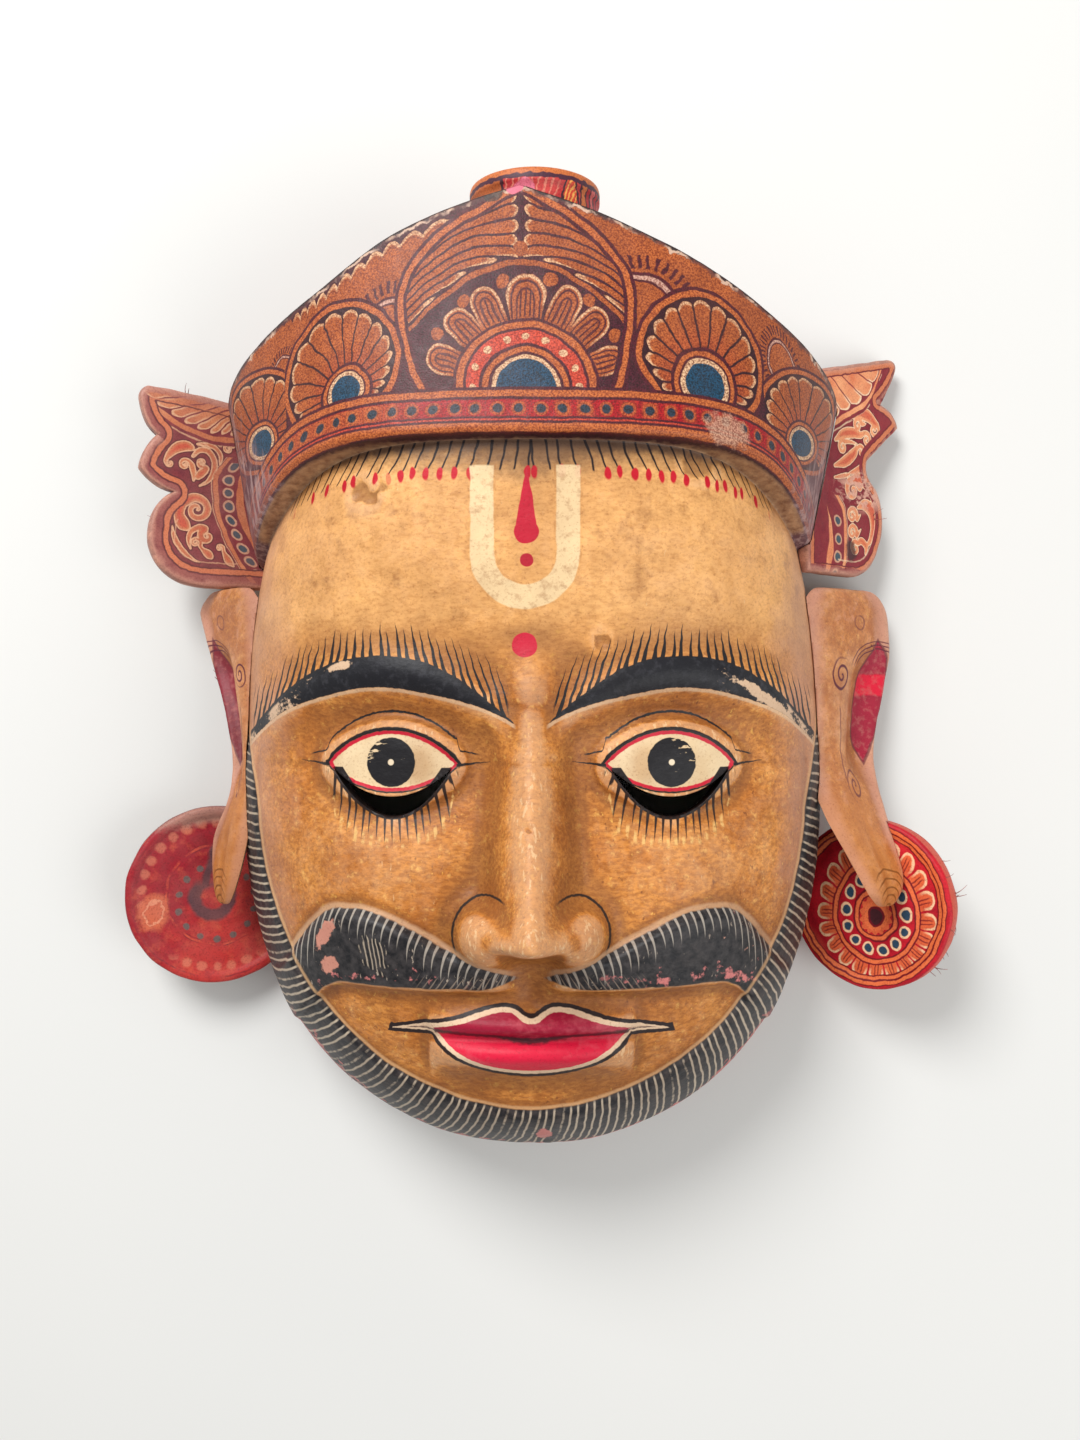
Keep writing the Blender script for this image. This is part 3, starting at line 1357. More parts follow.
    # Age: speckle, the chipped upper edge, grey rubbed sides, a little dust
    paint.lay(above(speck, 0.0, 0.8), (140, 72, 44), 0.8, "MULTIPLY")
    chips = paint.noise(3.4, 9, 4)
    paint.lay(below(down + chips * 1.2, 1.6, 0.8), (84, 50, 50), 0.8)
    flaked = below(down + chips * 1.8, 1.6, 0.4)
    paint.lay(flaked & above(cloud, 0.1, 0.4), (226, 190, 164), 0.8)
    paint.lay(flaked & above(ragged, 0.4, 0.3) & above(p, 15, 5), (40, 34, 32))
    paint.lay(below(down + chips * 1.3, 0.5, 0.4), (46, 36, 38))
    paint.lay(below(far(p + 8.5, down * 1.6 - 1) + chips, 3.4, 0.5), (48, 44, 42), 0.85)
    paint.lay(below(far(p + 1.5, down * 1.2) + chips, 2.8, 0.5), (226, 110, 132))
    streaks = paint.noise(2.4, 12, 3, (1, 0.25, 1))
    side = above(m + cloud * 5 + streaks * 4 - h * 0.6 - right * 6, 96, 12)
    paint.lay(side, (116, 82, 90), 0.62)
    paint.lay(side & above(streaks, 0.1, 0.5), (188, 158, 154), 0.62)
    paint.lay(above(chips, 1.1, 0.25) & above(cloud, 0.2, 0.5), (214, 156, 130), 0.6)
    dust = paint.noise(26, 10, 3)
    paint.lay(above(dust, 0.3, 1.6), (170, 120, 104), 0.14)
    under = below(up + streaks * 0.4, 0.1, 0.8) & below(abs(p), 118, 3)
    paint.lay(under, paint.tint(above(streaks + chips, 0, 2), (122, 82, 58), (190, 148, 108)), 0.9)
    grain = paint.noise(0.5, 11, 1)
    relief = product(cloud, 0.8, grain * 0.25) + chips * 0.15
    return paint.done(product(chips, 0.07, 0.5), relief, 0.12, 0.4)


PALE = (252, 190, 118)
OCHRE = (228, 146, 62)
UMBER = (150, 82, 26)
SOOT = (30, 28, 32)
BONE = (232, 204, 168)
BELOW_FOREHEAD = -30  # a height where the skin is plain ochre, for pieces away from the forehead
# From one to the next, in mm: drops under the band, lashes, and pale hairs in the beard.
DROP_GAP, LASH_GAP, BEARD_GAP = 4.1, 2.3, 2.7


def skin_base(paint, y, edge_on, bulge):
    """Ochre with brown mottling, paler on the forehead, dusty where it is rubbed. Returns its noises."""
    cloud = paint.noise(17, 31, 4)
    fibre = paint.noise(1.1, 32, 3, (0.45, 1, 1))
    fleck = paint.noise(2.6, 33, 3)
    forehead = above(y + cloud * 5, 12, 22)
    paint.colour = paint.tint(forehead, OCHRE, PALE)
    calm = product(forehead, -0.72, 1.0)
    paint.lay(above(cloud, 0.15, 1.3) & calm, (176, 98, 34), 0.6)
    paint.lay(below(cloud, -0.2, 1.2) & calm, (236, 166, 84), 0.55)
    paint.lay(above(fibre, 0.0, 0.8) & calm, UMBER, 0.6)
    paint.lay(above(fibre, 0.35, 0.6) & forehead, (204, 138, 74), 0.4)
    stain = paint.noise(7, 34, 5)
    paint.lay(above(stain, 0.45, 0.6), (128, 70, 32), 0.5)
    paint.lay(above(fleck, 0.6, 0.5) & calm, (250, 190, 90), 0.75)
    dabs = paint.noise(1.3, 36, 2, (1, 0.6, 1))
    paint.lay(above(dabs + stain * 0.3, 0.75, 0.25) & calm, (255, 196, 92), 0.7)
    paint.lay(below(dabs - stain * 0.3, -0.7, 0.3) & calm, (112, 56, 22), 0.7)
    worn = paint.noise(1.5, 35, 3, (1, 0.28, 1))
    paint.lay(above(worn + bulge * 0.35 - stain * 0.2, 0.95, 0.25), (244, 208, 156), 0.8)
    paint.lay(below(bulge + stain * 0.25, -0.15, 0.9), (124, 74, 40), 0.52)
    paint.lay(above(bulge + fleck * 0.3, 0.55, 0.9), (236, 186, 140), 0.45)
    paint.lay(above(edge_on + cloud * 9, 84, 14), (206, 158, 134), 0.5)
    return cloud, fibre, fleck


def paint_beard(paint, x_noise, cloud, fleck):
    """Black band with pale hairs, fraying to pink paper at the rim."""
    turn, inside, z = paint.guide("beard")
    reach = inside + cloud * 0.5
    band = above(reach, 0, 0.5)
    paint.lay(between(reach, -1.1, 0.2, 0.7), (226, 180, 130), 0.6)
    mottled = paint.tint(above(fleck, 0.3, 1.2), SOOT, (78, 70, 68))
    paint.lay(band, mottled)
    bent = turn + inside * 0.16 + x_noise * 0.6 + inside * inside * 0.006
    chance = paint.chance(nearest(bent, BEARD_GAP))
    hair = line(wrapped(bent, BEARD_GAP) + (chance - 0.5) * 0.7, 0.34, 0.3)
    lit = hair & above(inside, 0.4, 1.2) & above(chance + fleck * 0.25, 0.05, 0.3)
    paint.lay(lit, (206, 188, 164), 0.85)
    torn = below(z + fleck * 2.5 + cloud * 4, 4.5, 2) & above(inside, -6, 2)
    tatter = paint.noise(5, 45, 3)
    ridge = inside + highest(abs(turn) - 52, 0) * 0.16
    bare = above(ridge + tatter * 6 + fleck * 0.6, 20.4, 0.7) & below(ridge + tatter * 1.5, 23.0, 1)
    paint.lay(bare & below(abs(turn), 84, 5), (206, 112, 108), 0.9)
    paint.lay(torn, (196, 96, 92))


def finish_skin(paint, cloud, fibre, fleck):
    specks = paint.noise(1.9, 41, 2)
    paint.lay(above(specks, 1.15, 0.2), (70, 44, 32), 0.7)
    grime = paint.noise(34, 42, 3)
    paint.lay(above(grime, 0.2, 1.2), (136, 92, 62), 0.36, "MULTIPLY")
    pits = paint.noise(0.8, 44, 3)
    paint.lay(above(pits, 0.5, 0.7), (150, 96, 60), 0.4, "MULTIPLY")
    relief = product(cloud, 0.9, fibre * 0.12) + fleck * 0.12
    return paint.done(product(fleck, 0.07, 0.5), relief, 0.2, 0.34)


def dashed(paint, x, period, half, length, reach, lean, seed):
    """Tapered strokes: x runs across them, reach along each from its root."""
    skewed = x + reach * lean
    chance = paint.chance(nearest(skewed, period) + seed)
    t = product(reach, 1 / length, 0) - chance * 0.35
    width = product(t, -half, half)
    off = abs(wrapped(skewed, period) + (chance - 0.5) * period * 0.25)
    return above(width - off, 0, 0.2) & above(width, 0.06, 0.1) & above(reach, -0.4)


def upper_skin_material():
    paint = Paint("upper_face_paint", OCHRE)
    x, y, _ = paint.millimetres()
    away, over, under = paint.guide("brow")
    ex, ey, edge = paint.guide("eye")
    fold, lash, _ = paint.guide("lash")
    _, _, bulge = paint.guide("nostril")
    cloud, fibre, fleck = skin_base(paint, y, away, bulge)
    sway_x, sway_y, _ = paint.noises(6, 43, 0.5)
    jog_x, jog_y, jog = paint.noises(1.7, 44, 0.16)

    # Soot under the band, then the drops that hang from the hairline
    along, up, _ = paint.guide("crown")
    drop = -up

    def hanging(bend):
        """Where a place is in the nearest drop: across it, along it, and the drop's own chance."""
        chance = paint.chance(nearest(bend, DROP_GAP))
        return wrapped(bend, DROP_GAP) + (chance - 0.5) * 1.1, drop + (chance - 0.5) * 1.6, chance

    smudge = below(drop + abs(x + 1) * 0.16 + fleck * 3, 11, 9)
    paint.lay(smudge, (96, 70, 52), 0.75)
    paint.lay(below(drop + fleck * 0.8, 2.6, 2.5), (90, 66, 54), 0.7)
    lean = sign(along) * (lowest(abs(along), 60) * 0.0075 + 0.08)
    bend = along - lean * (drop + drop * drop * 0.03) + sway_x
    off, length, _ = hanging(bend)
    stroke = line(off, 0.42 - length * 0.015) & below(length, 8.6, 0.5) & below(abs(along), 96, 2)
    paint.lay(stroke, (34, 20, 20))
    bend = along - lean * 12 + sway_x
    off, length, chance = hanging(bend)
    bulb = far(off, (length - 9.6) * 0.5) - (length - 9.6) * 0.1
    hung = above(chance, 0.25, 0.1) & below(abs(along), 92, 2)
    paint.lay(below(bulb, 0.95, 0.3) & hung, (200, 14, 38))

    # Marks on the forehead
    u = x + 1.8 + sway_x * 0.6
    v = y + sway_y * 0.6
    corner = far(u, lowest(v - 41, 0))
    bar = line(corner - 13.1, 3.6, 0.4) & below(v, 67.5, 0.5)
    paint.lay(bar, (244, 216, 168), 0.85)
    paint.lay(line(corner - 13.1, 4.3, 0.3) & below(v, 68, 0.5) & above(fleck, 0.3, 0.5), UMBER, 0.35)
    t = product(v, 1 / 23, -43.5 / 23)
    half = 3.7 - t * 3.7 + t * (1 - t) * 2
    body = above(half - abs(u - 0.4), 0) & above(v, 47.5)
    paint.lay(body | below(far(u - 0.4, v - 47.5), 3.75), (204, 26, 54))
    paint.lay(below(far(u - 0.4, v - 38.8), 2.1), (190, 32, 52))
    paint.lay(below(far(u + 0.2, v - 13.5), 3.9), (204, 34, 60))

    # Brows: a black band with hairs standing on it
    brow_over, brow_under = over + jog_y + sway_y * 0.5, under + jog_x
    inner = above(away, 5, 1)
    band = below(brow_over, 0) & below(brow_under, 0) & inner & below(away, 97, 1)
    rubbed = above(fibre * 0.5 + cloud + (away - 62) * 0.02, 0.62, 0.25)
    ink = paint.tint(above(fleck, 0.5, 0.9), (26, 26, 32), (58, 58, 64))
    paint.lay(between(brow_under, 0, 1.1, 0.4) & inner & below(brow_over, 0), BONE, 0.55)
    paint.lay(band, ink)
    bare = far((away - 77) * 0.15, brow_over + 4.6) + fleck * 1.0 + fibre * 0.5 + below(x, 0) * 9
    small = far((away - 60) * 0.3, brow_over + 1.6) + fleck * 0.8 + above(x, 0) * 9
    rubbed = rubbed & below(brow_over, -1.2, 0.6) | below(bare, 1.8, 0.4) | below(small, 1.2, 0.4)
    paint.lay(band & rubbed, (226, 190, 156), 0.9)
    lean = 0.55 - ramp(away, 1 / 60, -0.3)
    hairs = dashed(paint, away + sway_x, 2.9, 0.62, 8.5, brow_over, -lean, 3)
    paint.lay(hairs & above(away, 7, 1) & below(away, 95, 1), (30, 26, 28))

    # Eyes
    rim = edge + jog_y
    white = paint.tint(above(cloud, 0.1, 1.6), (240, 216, 176), (222, 188, 140))
    paint.lay(below(rim, -0.2), white)
    stain = below(far(ex + 8.5, ey * 0.7), 4.5, 4) & below(rim, -1)
    paint.lay(stain, (196, 150, 100), 0.55)
    iris = far(ex, ey - 0.6)
    brushed = above(paint.noise(1.3, 47, 2, (0.16, 1, 1)) + (ey + ex) * 0.1, 1.25, 0.2)
    scratch = paint.noise(0.9, 48, 2, (0.2, 1.3, 1))
    paint.lay(below(iris + jog, 7.7) & ~brushed, (22, 20, 24))
    paint.lay(below(iris, 7.4) & above(scratch, 0.95, 0.25), (200, 180, 150), 0.5)
    paint.lay(below(far(ex, ey - 0.6), 0.95), (246, 228, 196))
    paint.lay(between(rim, -1.15, 0.0), (206, 28, 54))
    lower = above(-ey, 0.5, 1)
    black = between(rim, -0.05, 1.15) & above(ey, -1.0, 1)
    thin = between(rim, -0.05, 0.5) & lower
    past = abs(ex) - 21
    tail = line(ey + 0.3 + jog_y - past * 0.12, 0.5 - past * 0.045) & between(abs(ex), 20.5, 31)
    crease = line(fold - 6.0 + jog_y * 1.4 + (ex * ex) * 0.004, 0.42 - abs(ex) * 0.006)
    crease = crease & below(abs(ex), 27, 1.5)
    under_slit = between(lash, -3, 0.9) & below(abs(ex), 19, 1) & above(-ey, 1)
    paint.lay(black | thin | tail | crease | under_slit, (34, 26, 26))
    rooted = below(abs(ex), 21, 1) & above(-ey, 2, 1)
    fanned = ex * (1 - lash * 0.012)
    lashes = dashed(paint, fanned, LASH_GAP, 0.42, 7.2, lash, 0.05, 9)
    paint.lay(lashes & rooted, (48, 32, 26))
    tips = between(lash, 6.6, 9.4, 0.8) & line(wrapped(fanned + 1.1, LASH_GAP), 0.45) & rooted
    paint.lay(tips & above(fleck, 0.0, 0.5), (240, 196, 120), 0.75)

    paint_beard(paint, sway_x, cloud, fleck)
    return finish_skin(paint, cloud, fibre, fleck)


def lower_skin_material():
    paint = Paint("lower_face_paint", OCHRE)
    x, y, z = paint.millimetres()
    wing, _, bulge = paint.guide("nostril")
    ax = abs(x)
    cloud, fibre, fleck = skin_base(paint, y, ax, bulge)
    sway_x, sway_y, _ = paint.noises(6, 43, 0.5)
    jog_x, jog_y, _ = paint.noises(1.7, 44, 0.16)

    # The nose's wings, and the pink paper at its tip
    outline = line(wing - 1.2 + jog_x, 0.36) & above(y, NOSE_BASE_Y + 1.5, 1.5) & above(ax, 8, 2)
    paint.lay(outline, (46, 34, 30))
    tip = far(x * 0.45, y - NOSE_BASE_Y + 0.5) + fleck * 2.4
    paint.lay(below(tip, 2.6, 1.2) & above(z, 100, 6), (222, 140, 140), 0.8)

    # Lips
    lip_over, lip_under, parting = paint.guide("lip")
    upper, lower = lip_over + jog_y, lip_under + jog_x
    edge = highest(upper, lower)
    paint.lay(between(edge, -0.1, 1.3), (40, 26, 26))
    paint.lay(between(edge, -1.7, 0.05), (238, 206, 172))
    red = paint.tint(above(parting, 0, 0.5), (226, 22, 62), (168, 16, 54))
    paint.lay(below(edge, -1.4), red)
    paint.lay(below(edge, -1.4) & above(cloud + fleck * 0.5, 0.5, 0.8), (232, 108, 120), 0.5)
    gap = line(parting + jog_y * 2, 0.75, 0.7) & below(edge, -0.6)
    paint.lay(gap, (66, 30, 40), 0.9)

    # Moustache
    away, over, under = paint.guide("moustache")
    top, low = over + sway_y * 0.7, under + sway_x * 0.7
    body = below(top, 0, 0.5) & below(low, 0, 0.5) & above(away, 5, 3)
    paint.lay(between(top, -0.4, 1.6, 0.9) & below(low, 0) & above(away, 6, 3), (218, 178, 140), 0.6)
    ink = paint.tint(above(fleck, 0.2, 1.4), (26, 26, 30), (76, 72, 72))
    paint.lay(body, ink)
    hair = dashed(paint, away + top * 0.5 + top * top * 0.03, 2.6, 0.36, 7.5, -top, 0.0, 5)
    paint.lay(hair & body, (196, 186, 172), 0.75)
    root = dashed(paint, away - low * 0.7, 2.1, 0.3, 4.5, -low, 0.0, 7) & below(away, 34, 6)
    paint.lay(root & body, (180, 160, 140), 0.5)
    chip = paint.noise(4.2, 51, 4) + sign(x) * 0.12
    blotch = paint.noise(8, 53, 4)
    worn = above(chip - abs(low + 2.5) * 0.12, 0.25, 0.25) | above(blotch, 0.72, 0.12)
    worn = worn & above(away, 22, 8)
    paint.lay(worn & body, (222, 132, 128))
    paint.lay(above(chip, 0.85, 0.2) & body, (226, 168, 146))
    left_end = body & below(x, 0)
    for across, level, size in ((away - 65, top + 5.5, 3.4), (away - 64, low + 6, 3.0)):
        pad = far(across, level * 1.15) + fleck * 1.3
        paint.lay(below(pad, size, 0.5) & left_end, (214, 146, 126))
    rubbed = below(far(away - 49, (top + 12) * 0.8) + fleck * 2.5, 4.2, 1) & left_end
    paint.lay(line(wrapped(away - top * 0.2 + sway_x, 1.5), 0.2, 0.3) & rubbed, (212, 194, 170), 0.75)
    scuffed = paint.noise(1.2, 52, 4, (1, 0.3, 1))
    paint.lay(above(scuffed + blotch * 0.5, 0.72, 0.2) & body, (190, 174, 156), 0.85)

    paint_beard(paint, sway_x, cloud, fleck)
    chin_chip = far(x - 4, (y + 146) * 0.6) + fleck * 0.8
    paint.lay(below(chin_chip, 2.4, 0.4), (204, 120, 112))
    return finish_skin(paint, cloud, fibre, fleck)


# The scrollwork painted on the wings, as ribbons of (u, v, half width).
LEFT_SCROLLS = [
    [(28.4, 49.6, 1.2), (30.6, 50.0, 2.0), (33.4, 49.0, 1.9), (35.8, 46.8, 1.3), (37.2, 44.6, 0.8)]
    + curl(35.8, 43.6, 1.3, 0, -0.85, 0.6, 0.4),
    [(27.6, 38.0, 0.4), (27.6, 40.6, 1.0), (28.2, 43.2, 1.1)] + curl(30.6, 43.4, 1.9, 150, -1.2, 0.8, 0.4),
    [(27.8, 46.6, 0.6), (25.6, 48.9, 1.0), (22.4, 48.8, 1.1)]
    + [(20.4, 45.8, 1.1), (20.4, 42, 1.1), (22.4, 38.3, 0.8)]
    + [(25.4, 36.2, 0.4)],
    [(26.0, 39.6, 1.3), (24.8, 40.8, 1.5), (23.0, 42.8, 0.9)] + curl(24.6, 44.6, 1.4, -60, 1.15, 0.7, 0.35),
    [(26.2, 51, 0.5), (22.8, 51.2, 0.8), (19.6, 50, 0.9), (18.0, 47.4, 0.8), (18.2, 44.6, 0.4)],
    curl(15.2, 50.4, 1.8, 150, -1.3, 0.7, 0.4),
    [(30.2, 21.4, 1.6), (31.4, 22.6, 2.4), (32.6, 25.4, 1.9), (31.6, 28.8, 1.7)]
    + curl(26.4, 27.6, 4.6, 40, 1.5, 1.7, 0.45),
    [(28.6, 13.6, 0.4), (29.4, 16.4, 0.8), (28.6, 19.4, 1.0), (26.0, 21.3, 1.2)]
    + curl(22.9, 18.4, 2.5, 70, -1.05, 1.5, 0.4),
    [(21.4, 10.9, 0.8), (22.4, 11.9, 1.5), (24.2, 13.4, 0.9)] + curl(26.9, 15.7, 1.9, 210, -1.15, 0.8, 0.4),
    [(13.4, 8.0, 0.3), (15.2, 9.9, 1.4), (16.6, 12.2, 0.9)] + curl(18.4, 14.3, 1.3, 200, -1.0, 0.7, 0.4),
    [(35.0, 21.4, 0.3), (34.0, 16.8, 1.0), (31.4, 12.8, 1.0), (28.0, 9.9, 0.6), (25.4, 8.8, 0.2)],
]
RIGHT_SCROLLS = [
    [(12, 53.4, 0.6), (17, 57.0, 1.6), (23.0, 59.2, 2.3), (29.4, 58.8, 2.3), (33.6, 56.6, 1.5)]
    + curl(33.2, 54.2, 2.6, 40, -1.25, 0.9, 0.4),
    [(28.0, 55.6, 0.4)] + curl(23.6, 54.6, 2.5, 20, 1.3, 1.0, 0.4),
    [(11, 47.6, 0.6), (15.4, 50.4, 1.8), (20.4, 51.4, 1.9), (25, 51.2, 1.2)]
    + curl(28.6, 50.0, 2.5, 120, -1.3, 0.9, 0.4),
    [(23.0, 47.8, 0.3), (19.4, 48.0, 0.7)] + curl(15.2, 45.6, 2.4, 60, 1.3, 0.9, 0.4),
    [(11, 38.6, 0.6), (16.4, 40.6, 1.9), (20.8, 43.6, 1.9), (23.0, 46.2, 1.0)]
    + curl(25.4, 45.4, 2.0, 150, -1.2, 0.8, 0.4),
    [(19.0, 36.8, 0.4), (23.6, 38.4, 1.2), (27.4, 40.8, 1.1), (29.4, 43.0, 0.3)],
    [(11, 34.4, 0.4), (15.4, 35.4, 0.9), (19, 36.4, 0.5)],
    [(33.0, 28.0, 0.8), (31.6, 31.8, 1.9), (28.0, 34.6, 2.3), (23.0, 35.4, 1.9)]
    + curl(21.0, 31.0, 4.2, 20, 1.35, 1.5, 0.5),
    [(24.0, 25.0, 0.5), (28.0, 26.4, 2.0), (32.0, 24.6, 2.6)]
    + [(33.8, 20.0, 2.3), (32.6, 15.2, 1.5), (29.4, 11.6, 0.5)],
    [(25.6, 22.6, 0.3)] + curl(20.8, 21.8, 2.9, -20, 1.5, 0.9, 0.5),
    [(26.0, 17.4, 0.3)] + curl(21.0, 15.8, 2.7, -20, 1.45, 0.9, 0.45),
    [(28.6, 8.4, 0.3), (29.0, 11.4, 1.2), (26.4, 13.2, 1.3)] + curl(22.6, 10.2, 2.6, 50, 1.3, 1.0, 0.45),
]
# How each wing is painted. Its rib has a height, a slope and where it bends. Its feathers spread from a
# point, by an angle and a phase. The arc beside the head has a middle, then heights where it bends and ends.
# The dots have a spacing, a first and a last height. The border has where it starts and what it covers.
LEFT_PLAN = dict(rib=(53.7, 0.0, 18), feathers=((1, 73), 0.115, 0.22), arc=(19.9, 35.5, 38, 47))
LEFT_PLAN |= dict(dots=(4.9, 45, 6), border=(2.4, 1.7, 60))
RIGHT_PLAN = dict(rib=(54.9, 0.53, 26), feathers=((-14, 84), 0.16, 0.0), arc=(16.8, 13, 22, 28))
RIGHT_PLAN |= dict(dots=(6.4, 23, 0), border=(0.4, 0.0, 90))


def wing_material(name, seed, fresh, plan):
    """fresh is 0 for a rubbed and dusty wing, 1 for a bright one with a torn patch."""
    ground = (140, 26, 44) if fresh else (124, 42, 54)
    paint = Paint(name, ground)
    u, v, w = paint.guide("leaf")
    edge, ink, _ = paint.guide("leaf_edge")
    sway_u, sway_v, _ = paint.noises(8, seed, 0.5)
    jog_u, jog_v, jog = paint.noises(2.2, seed + 1, 0.12)
    u, v = u + sway_u + jog_u, v + sway_v + jog_v
    ink = ink + jog + 0.1 * fresh
    _, cloud, speck = gilt(paint, seed + 2)
    rubbed = paint.noise(4, seed + 5, 3)
    low, high = ((226, 122, 78), (250, 176, 124)) if fresh else ((190, 98, 62), (222, 142, 96))
    warm = paint.tint(ramp(cloud, 0.6, 0.5), low, high)
    pale = (250, 214, 176) if fresh else (230, 178, 138)
    dark = (112, 16, 32) if fresh else (84, 24, 34)
    paint.lay(above(cloud, 0.1, 1.2), dark, 0.6)
    paint.lay(above(rubbed, 0.2, 1.4), (168, 66, 62), 0.4)

    # The upper leaf: feathers over a curved rib
    base, slope, bend = plan["rib"]
    past = highest(u - bend, 0)
    rib = v - base - (u - 13.5) * slope - past * past * (0.07 if slope else 0.0175)
    (from_u, from_v), period, phase = plan["feathers"]
    x, y = u - from_u, v - from_v
    reach = far(x, y)
    c = wrapped(bearing(x, y) * (1 / period) + phase, 1.0)
    tip = rib - 1.7 - c * c * 9
    side = (0.5 - abs(c)) * reach * period
    feather = above(tip, 0) & above(side, 0.26) & above(edge, 1.2)
    paint.lay(feather, warm)
    paint.lay(feather & (below(tip, 0.8, 0.5) | (below(side, 0.75, 0.4) & below(tip, 4, 3))), pale)
    paint.lay(line(rib, 0.95) & above(edge, 3), warm)
    paint.lay(line(rib + 2.6, 0.32) & above(edge, 5) & above(abs(w) - 2.0, 0), pale, 0.7)

    # Scrolls in the middle and in the lower lobe
    arc_u, arc_v, arc_bend, arc_top = plan["arc"]
    off = v - arc_v
    over = highest(v - arc_bend, 0)
    arc = u - arc_u + off * off * 0.0125 + over * over * 0.05
    free = below(rib, -2.4) & above(edge, 5.0) & (above(arc, 0.8) | above(v, arc_top))
    paint.lay(between(ink, -0.4, 0.1, 0.2) & free, dark)
    paint.lay(above(ink, 0, 0.2) & free, warm)
    paint.lay(between(ink, 0.0, 0.42 - 0.14 * fresh, 0.18) & free, pale)
    paint.lay(above(ink, 1.15, 0.7) & free, (206, 56, 40), 0.65)

    # The rib beside the head, its row of dots and the crescent next to them
    paint.lay(line(arc, 0.85) & below(v, arc_top) & above(edge, 2.5), warm)
    paint.lay(between(arc, 1.15, 1.5, 0.2) & below(v, arc_top) & above(edge, 4.5), pale, 0.7)
    spacing, first, last = plan["dots"]
    near = far(arc + 4.3, wrapped(v, spacing))
    dots = below(v, first) & above(v, last)
    paint.lay(below(near, 2.1) & dots, (214, 160, 130))
    paint.lay(below(near, 1.4) & dots, (66, 84, 94))
    paint.lay(line(arc + 8.6, 1.7 - abs(v - arc_v + 6) * 0.1), warm)

    # The border, a finer line inside it, and the thickness of the board
    start, lobe_shift, cover = plan["border"]
    place = edge + jog * 2 - below(v, 26, 10) * lobe_shift
    border = [(0.4, None), (0.9, dark), (2.6, (214, 122, 80)), (3.1, dark), (3.3, None)]
    if not fresh:
        paint.lay(below(place, 2.6, 0.5) & above(rubbed + cloud, -0.6, 1.2), (168, 98, 88), 0.75)
    kept = below(v - u * 0.15, cover, 1) & above(v, 3)
    paint.bands(place - start, 0, border, kept)
    paint.lay(between(place - start, 4.6, 5.1) & below(v, 24) & above(u, 12) & kept, pale, 0.6)
    paint.lay(below(edge + rubbed * 1.1, 1.1, 0.6), (150, 84, 78), 0.6)
    side = below(abs(w), 2.3, 0.5) & below(edge, 1.2, 0.4)
    worn = paint.tint(above(rubbed, 0.2, 0.5), (104, 54, 56), (196, 136, 112))
    paint.lay(side, worn)
    paint.lay(side & above(rubbed, 0.7, 0.3), (50, 34, 36))
    paint.lay(below(edge + rubbed * 1.3, 0.8, 0.5) & ~side, (198, 138, 116), 0.7)
    paint.lay(below(w, -1.5, 0.4), paint.tint(above(cloud, 0, 2), (110, 66, 56), (140, 100, 78)))

    if fresh:
        torn = below(far((u - 27) * 0.45, v - 31), 6.5, 4)
        ragged = paint.noise(2.6, seed + 7, 4, (0.4, 1, 1))
        paint.lay(torn & above(ragged + rubbed * 0.4, 0.0, 0.3), (226, 172, 150), 0.9)
        paint.lay(torn & above(ragged - rubbed * 0.4, 0.7, 0.3), (150, 96, 84))
        scorched = far(u - 20, (v - 9) * 0.8) + rubbed * 1.2
        paint.lay(below(scorched, 3.0, 1.2), (58, 28, 30), 0.85)
    bulge, _, _ = paint.guide("wear")
    paint.lay(above(bulge + rubbed * 0.4, 0.9, 0.8), (216, 160, 136), 0.5)
    paint.lay(above(rubbed, 1.1, 0.25), (206, 150, 130), 0.7 - 0.3 * fresh)
    if not fresh:
        dust = paint.noise(13, seed + 6, 3)
        paint.lay(above(dust, 0.1, 1.8), (166, 118, 110), 0.38)
    paint.lay(above(speck, 0.3, 0.9), (150, 84, 56), 0.35, "MULTIPLY")
    relief = product(cloud, 0.6, rubbed * 0.3)
    return paint.done(product(rubbed, 0.06, 0.52), relief, 0.14, 0.4)


